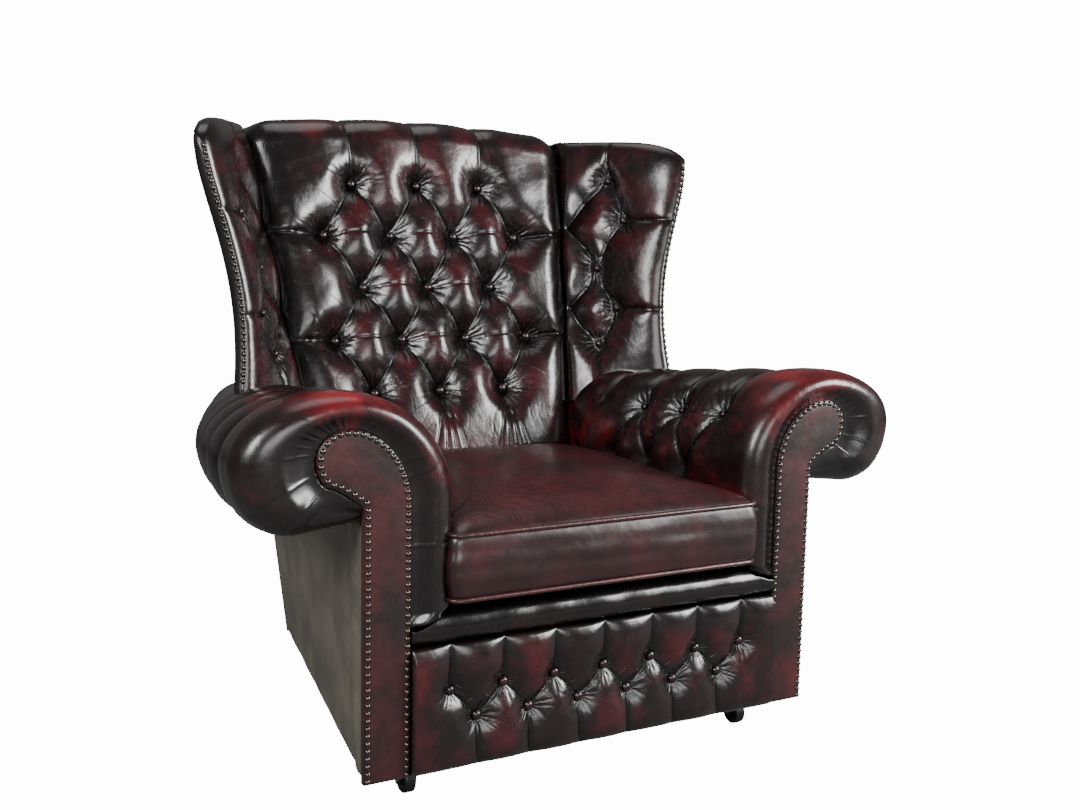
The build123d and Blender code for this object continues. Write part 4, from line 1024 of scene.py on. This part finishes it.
def cushion_place(s, t):
    """Bottom, boxing and crowned top as one closed skin; t runs from the bottom's middle to the top's."""
    rim_x, rim_y = cushion_outline(0, s)
    middle = 262
    under, boxing = 0.16, 0.42  # shares of t where the bottom and the boxing end
    low = np.clip(t / under, 0, 1)
    wall = np.clip((t - under) / (boxing - under), 0, 1)
    high = np.clip((t - boxing) / (1 - boxing), 0, 1)
    swell = 8.5 * np.sin(np.pi * wall) ** 0.8 - 3.5
    seam = np.exp(-(wall / 0.05) ** 2) + np.exp(-((wall - 1) / 0.05) ** 2)
    swell = swell - 1.5 * seam
    sag = waves(rim_x, rim_y + 300 * wall, 120, 31)
    swell = swell + 2.0 * sag * np.sin(np.pi * wall)
    swell = swell * (t >= under) * np.where(high > 0, 1 - high, 1)
    size = np.where(t < under, low ** 0.5, np.where(t <= boxing, 1.0, (1 - high) ** 0.85))
    out_y = rim_y - middle
    reach = np.hypot(rim_x, out_y)
    x = rim_x * size + rim_x / reach * swell
    y = middle + out_y * size + out_y / reach * swell
    middle_of_top = 1 - np.clip(np.abs(x) / crown_half_width, 0, 1) ** 2.4
    middle_of_top = middle_of_top * (1 - np.clip(np.abs(y - crown_middle) / crown_half_depth, 0, 1) ** 2.4)
    dome = crown * (0.45 * (1 - size ** 9) + 0.55 * middle_of_top)
    bottom_z = cushion_bottom + 1 + 8 * np.clip(low, 0, 1) ** 6
    wall_z = bottom_welt + (top_welt - bottom_welt) * wall
    top_z = top_welt + 4 + dome - 4 * (1 - high) ** 30
    z = np.where(t < under, bottom_z, np.where(t <= boxing, wall_z, top_z))
    creases = fine_creases(x, y, 21, 17, (0.9, 1.2, 2.2))
    near_front = smooth_step(-y, -230, 40) * (high > 0)
    z = z - 1.6 * creases * near_front * np.clip(high * 8, 0, 1)
    z = z + 1.3 * waves(x, y, 150, 4) * np.clip(high * 5, 0, 1)
    # Darker by the top welt and in the creases near the front; painted shade on the boxing, and more on the
    # underside.
    shade = 0.35 * np.exp(-(high / 0.06) ** 2) * (t > boxing) + 0.35 * creases * near_front
    shade = shade + 0.5 * ((t >= under) & (t <= boxing)) + 0.7 * (t < under)
    return x, y, z, shade


padded_sheet("cushion_cover", 360, 170, cushion_place, "seat_cushion", seat_leather, "oxblood_leather",
             ring=True, pad=0.85)


def welt(name, height, node):
    """Piping: a cord in a leather strip, run round the cushion in one loop."""
    bm, s, t = unit_grid(400, 10)
    t = t * 2 * math.pi
    x, y = cushion_outline(1.2, s)
    ahead_x, ahead_y = cushion_outline(1.2, (s + 0.0015) % 1)
    tangent = np.hypot(ahead_x - x, ahead_y - y)
    out_x, out_y = -(ahead_y - y) / tangent, (ahead_x - x) / tangent
    outward = np.sign(out_x * x + out_y * (y - 250))
    out_x, out_y = out_x * outward, out_y * outward
    radius = 3.6 + 0.15 * np.sin(s * 900)
    for vert, a, b, c in zip(bm.verts, x + out_x * radius * np.cos(t), y + out_y * radius * np.cos(t),
                             height + radius * np.sin(t)):
        vert.co = (a, b, c)
    bmesh.ops.remove_doubles(bm, verts=bm.verts, dist=0.05)
    bmesh.ops.recalc_face_normals(bm, faces=bm.faces)
    finish_piece(bm, name, "seat_cushion", seat_leather, node, "dark_leather", pad=1.0)


welt("welt_top", top_welt, "cushion_welt_top")
welt("welt_bottom", bottom_welt, "cushion_welt_bottom")


deck_half, deck_front, deck_bottom = 247, 62, 264


def deck_place(s, t):
    """Black platform cloth over the deck pad, sagging a little where the cushion presses on it."""
    u, depth = (s * 2 - 1) * deck_half, deck_front + t * (deck_rear - deck_front)
    inwards = np.minimum(deck_half - np.abs(u), np.minimum(depth - deck_front, deck_rear - depth))
    edge = np.clip(inwards / 22, 0, 1)
    sag = 4 * np.sin(np.pi * s) * np.sin(np.pi * t)
    z = deck_top - 7 * (1 - np.sqrt(1 - (1 - edge) ** 2)) - sag + 0.6 * waves(u, depth, 90, 14)
    return u, depth, z, 0 * u


padded_sheet("seat_deck", 90, 90, deck_place, chair, platform_cloth, "black_fabric",
             back=lambda x, y, z: (x, y, deck_bottom), pad=0.9)


# Plain outer covers

cover_height, cover_top, cover_corner_drop = 941, 990, 8


def outside_arm(s, t):
    """The plain side, from the facing to the outside back, with an upright fold near its front."""
    depth = 12 + s * (rear_depth + t * 25 - 22)
    top = arm_corners(depth)[-1] - 2
    z = base_foot + t * (top - base_foot)
    puff = 2.2 * np.sin(np.pi * s) * np.sin(np.pi * t) + 0.8 * waves(depth * 0.4, z * 0.1, 45, 50)
    puff = puff + 2.6 * np.exp(-((depth - 48 - 0.04 * z) / 13) ** 2)
    puff = puff - 1.6 * np.exp(-((depth - 82 - 0.05 * z) / 16) ** 2)
    hem = np.clip(np.minimum(t, 1 - t) * 45, 0, 1)
    x = side_x(depth, z) - 1 + puff - 3 * (1 - hem)
    return x, depth, z, 0.2 + 0.5 * (1 - hem)


def outside_back(s, t):
    """The flat rear cover, its top edge a little lower at the sides."""
    z = base_foot + t * cover_height
    u = (s * 2 - 1) * rear_half(z)
    z = np.minimum(z, cover_top - cover_corner_drop * smooth_step(np.abs(u), 160, 348))
    hem = np.clip(np.minimum(np.minimum(s, 1 - s) * 60, np.minimum(t, 1 - t) * 80), 0, 1)
    puff = 3 * np.sin(np.pi * s) * np.sin(np.pi * t) + 0.5 * waves(u, z, 260, 60) - 3 * (1 - hem)
    y = rear_plane(z) - 2.5 + puff
    return u, y, z, 0.2 + 0.5 * (1 - hem)


for side, word in sides:
    padded_sheet("outside_arm_" + word, 90, 60, outside_arm, chair, panel_leather, "outer_leather", side,
                 lambda x, y, z: (x - 6, y, z), pad=1.0)
padded_sheet("outside_back", 90, 120, outside_back, chair, panel_leather, "outer_leather",
             back=lambda x, y, z: (x, y - 5, z), pad=1.0)


# Buttons and nails: width, height, and the rings and faces round each head

button_shape = (15, 5, 8, 16)
nail_shape = (9, 3.4, 6, 10)
nail_pitch = 11
wing_nail_count, wing_nail_start = 35, 562


def heads(name, places, shape, material, slot):
    """One piece of domed heads, each on its point and facing its direction."""
    size, height, rings, around = shape
    bm = bmesh.new()
    for point, direction in places:
        made = bmesh.ops.create_uvsphere(bm, u_segments=around, v_segments=rings, radius=size / 2)["verts"]
        bmesh.ops.scale(bm, vec=(1, 1, height / (size / 2)), verts=made)
        turn = Vector((0, 0, 1)).rotation_difference(Vector(direction)).to_matrix()
        bmesh.ops.rotate(bm, cent=(0, 0, 0), matrix=turn, verts=made)
        bmesh.ops.translate(bm, vec=point, verts=made)
    finish_piece(bm, name, chair, material, name, slot)


def back_button_place(u, v):
    y = back_origin[0] + v * math.sin(rake)
    z = back_origin[1] + v * math.cos(rake)
    return (u, y - 1.5, z + 0.5), (0, -math.cos(rake), math.sin(rake))


def wing_button_place(share, z, side):
    crease_x, crease_y, run, ahead_x, ahead_y = (float(v) for v in wing_axes(np.float64(z)))
    out = 3 - 11 * share
    x = crease_x + share * run * ahead_x - ahead_y * out
    y = crease_y + share * run * ahead_y + ahead_x * out
    return (side * x, y, z), (side * ahead_y, -ahead_x, 0)


def arm_button_place(depth, side):
    corners = [np.array([float(c)]) for c in arm_corners(np.float64(depth))]
    x, z, nx, nz = (float(v[0]) for v in section(corners, np.array([row_t])))
    return (side * (x - nx * arm_rise), depth, z - nz * arm_rise), (side * nx, 0, nz)


button_places = {
    "back_buttons": [back_button_place(u, v) for u, v in back_buttons],
    "apron_buttons": [((u, 2.0, v), (0, -1, 0)) for u, v in apron_buttons],
    "wing_buttons": [wing_button_place(share, z, side) for share, z in wing_buttons for side in (1, -1)],
    "arm_buttons": [arm_button_place(d, side) for d in pleat_depths[:3] for side in (1, -1)],
}
for name, places in button_places.items():
    heads(name, places, button_shape, button_leather, "oxblood_leather")


def spaced(points, pitch):
    """Evenly spaced points along a run of points."""
    points = np.array(points, float)
    steps = np.hypot(*np.diff(points, axis=0).T)
    place = np.concatenate([[0], np.cumsum(steps)])
    count = max(1, round(place[-1] / pitch))
    marks = np.linspace(0, place[-1], count + 1)
    return zip(np.interp(marks, place, points[:, 0]), np.interp(marks, place, points[:, 1]))


for side, word in sides:
    places = [((side * x, -1.5, z), (0, -1, 0)) for x, z in spaced(facing_outline(5, 54), nail_pitch)]
    heads("facing_nails_" + word, places, nail_shape, bronze, "bronze_nails")
    places = []
    for i in range(wing_nail_count):
        z = wing_nail_start + i * nail_pitch
        front_x, front_y = wing_front(z)
        ahead_x, ahead_y = (float(v) for v in wing_axes(np.float64(z))[3:])
        point = (side * (front_x + 0.5 * ahead_x), front_y + 0.5 * ahead_y, z)
        places.append((point, (side * ahead_x, ahead_y, 0)))
    heads("wing_nails_" + word, places, nail_shape, bronze, "bronze_nails")


# Pieces carried over from the frame

finishes = {
    beech: ("arm_post", "arm_rail", "back_upright", "side_rail", "wing_frame", "front_rail", "back_rail",
            "tacking_rail", "crest_rail", "corner_blocks"),
    platform_cloth: ("dust_cover",),
    foam: ("cushion_core",),
    steel: ("seat_springs", "spring_clips", "castor_sockets", "castor_axle"),
    black_steel: ("castor_fork",),
    nylon: ("castor_wheel",),
}
for material, starts in finishes.items():
    for name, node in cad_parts.items():
        if name.startswith(starts):
            node.data.materials.clear()
            node.data.materials.append(material)


# Floor and studio light. The camera sees both as white, and the chair gets the light of soft boxes.

white_glow, sky_light = 14.0, 0.16


def floor():
    bm = bmesh.new()
    bmesh.ops.create_grid(bm, x_segments=1, y_segments=1, size=14)
    mesh = bpy.data.meshes.new("floor")
    bm.to_mesh(mesh)
    bm.free()
    piece = bpy.data.objects.new("floor", mesh)
    bpy.context.scene.collection.objects.link(piece)
    material, nodes, surface = new_material("pale_floor")
    seen = add(nodes, "LightPath", {}).outputs["Is Camera Ray"]
    glow = add(nodes, "Math", {0: seen, 1: white_glow}, operation="MULTIPLY")
    fill_in(surface, {"Base Color": linear("808080"), "Roughness": 0.9, "Specular IOR Level": 0.1,
                      "Emission Color": linear("ffffff"), "Emission Strength": glow})
    mesh.materials.append(material)


def softbox(name, place, aim, width, height, power):
    """A rectangular lamp, in metres and watts, that faces a point."""
    data = bpy.data.lights.new(name, "AREA")
    data.shape = "RECTANGLE"
    data.size, data.size_y = width, height
    data.energy = power
    lamp = bpy.data.objects.new(name, data)
    way = Vector(aim) - Vector(place)
    lamp.matrix_world = Matrix.Translation(place) @ way.to_track_quat("-Z", "Y").to_matrix().to_4x4()
    bpy.context.scene.collection.objects.link(lamp)


def sky():
    world = bpy.data.worlds.new("studio")
    bpy.context.scene.world = world
    world.use_nodes = True
    nodes = world.node_tree.nodes
    nodes.clear()
    seen = add(nodes, "LightPath", {}).outputs["Is Camera Ray"]
    glow = add(nodes, "Math", {0: seen, 1: white_glow}, operation="MULTIPLY")
    strength = add(nodes, "Math", {0: glow, 1: sky_light}, operation="ADD")
    background = add(nodes, "Background", {"Color": linear("ffffff"), "Strength": strength})
    add(nodes, "OutputWorld", {"Surface": background})


floor()
sky()
softbox("window", (2.85, -2.5, 1.95), (0, 0, 0.7), 1.2, 1.8, 255)
softbox("side", (-2.7, -1.5, 2.1), (0, 0, 0.6), 0.7, 1.4, 95)
softbox("front", (-0.9, -4.4, 1.5), (0, 0, 0.5), 2.6, 1.4, 90)
softbox("top", (0.1, 0.6, 3.2), (0, 0.1, 0.6), 1.6, 1.6, 14)
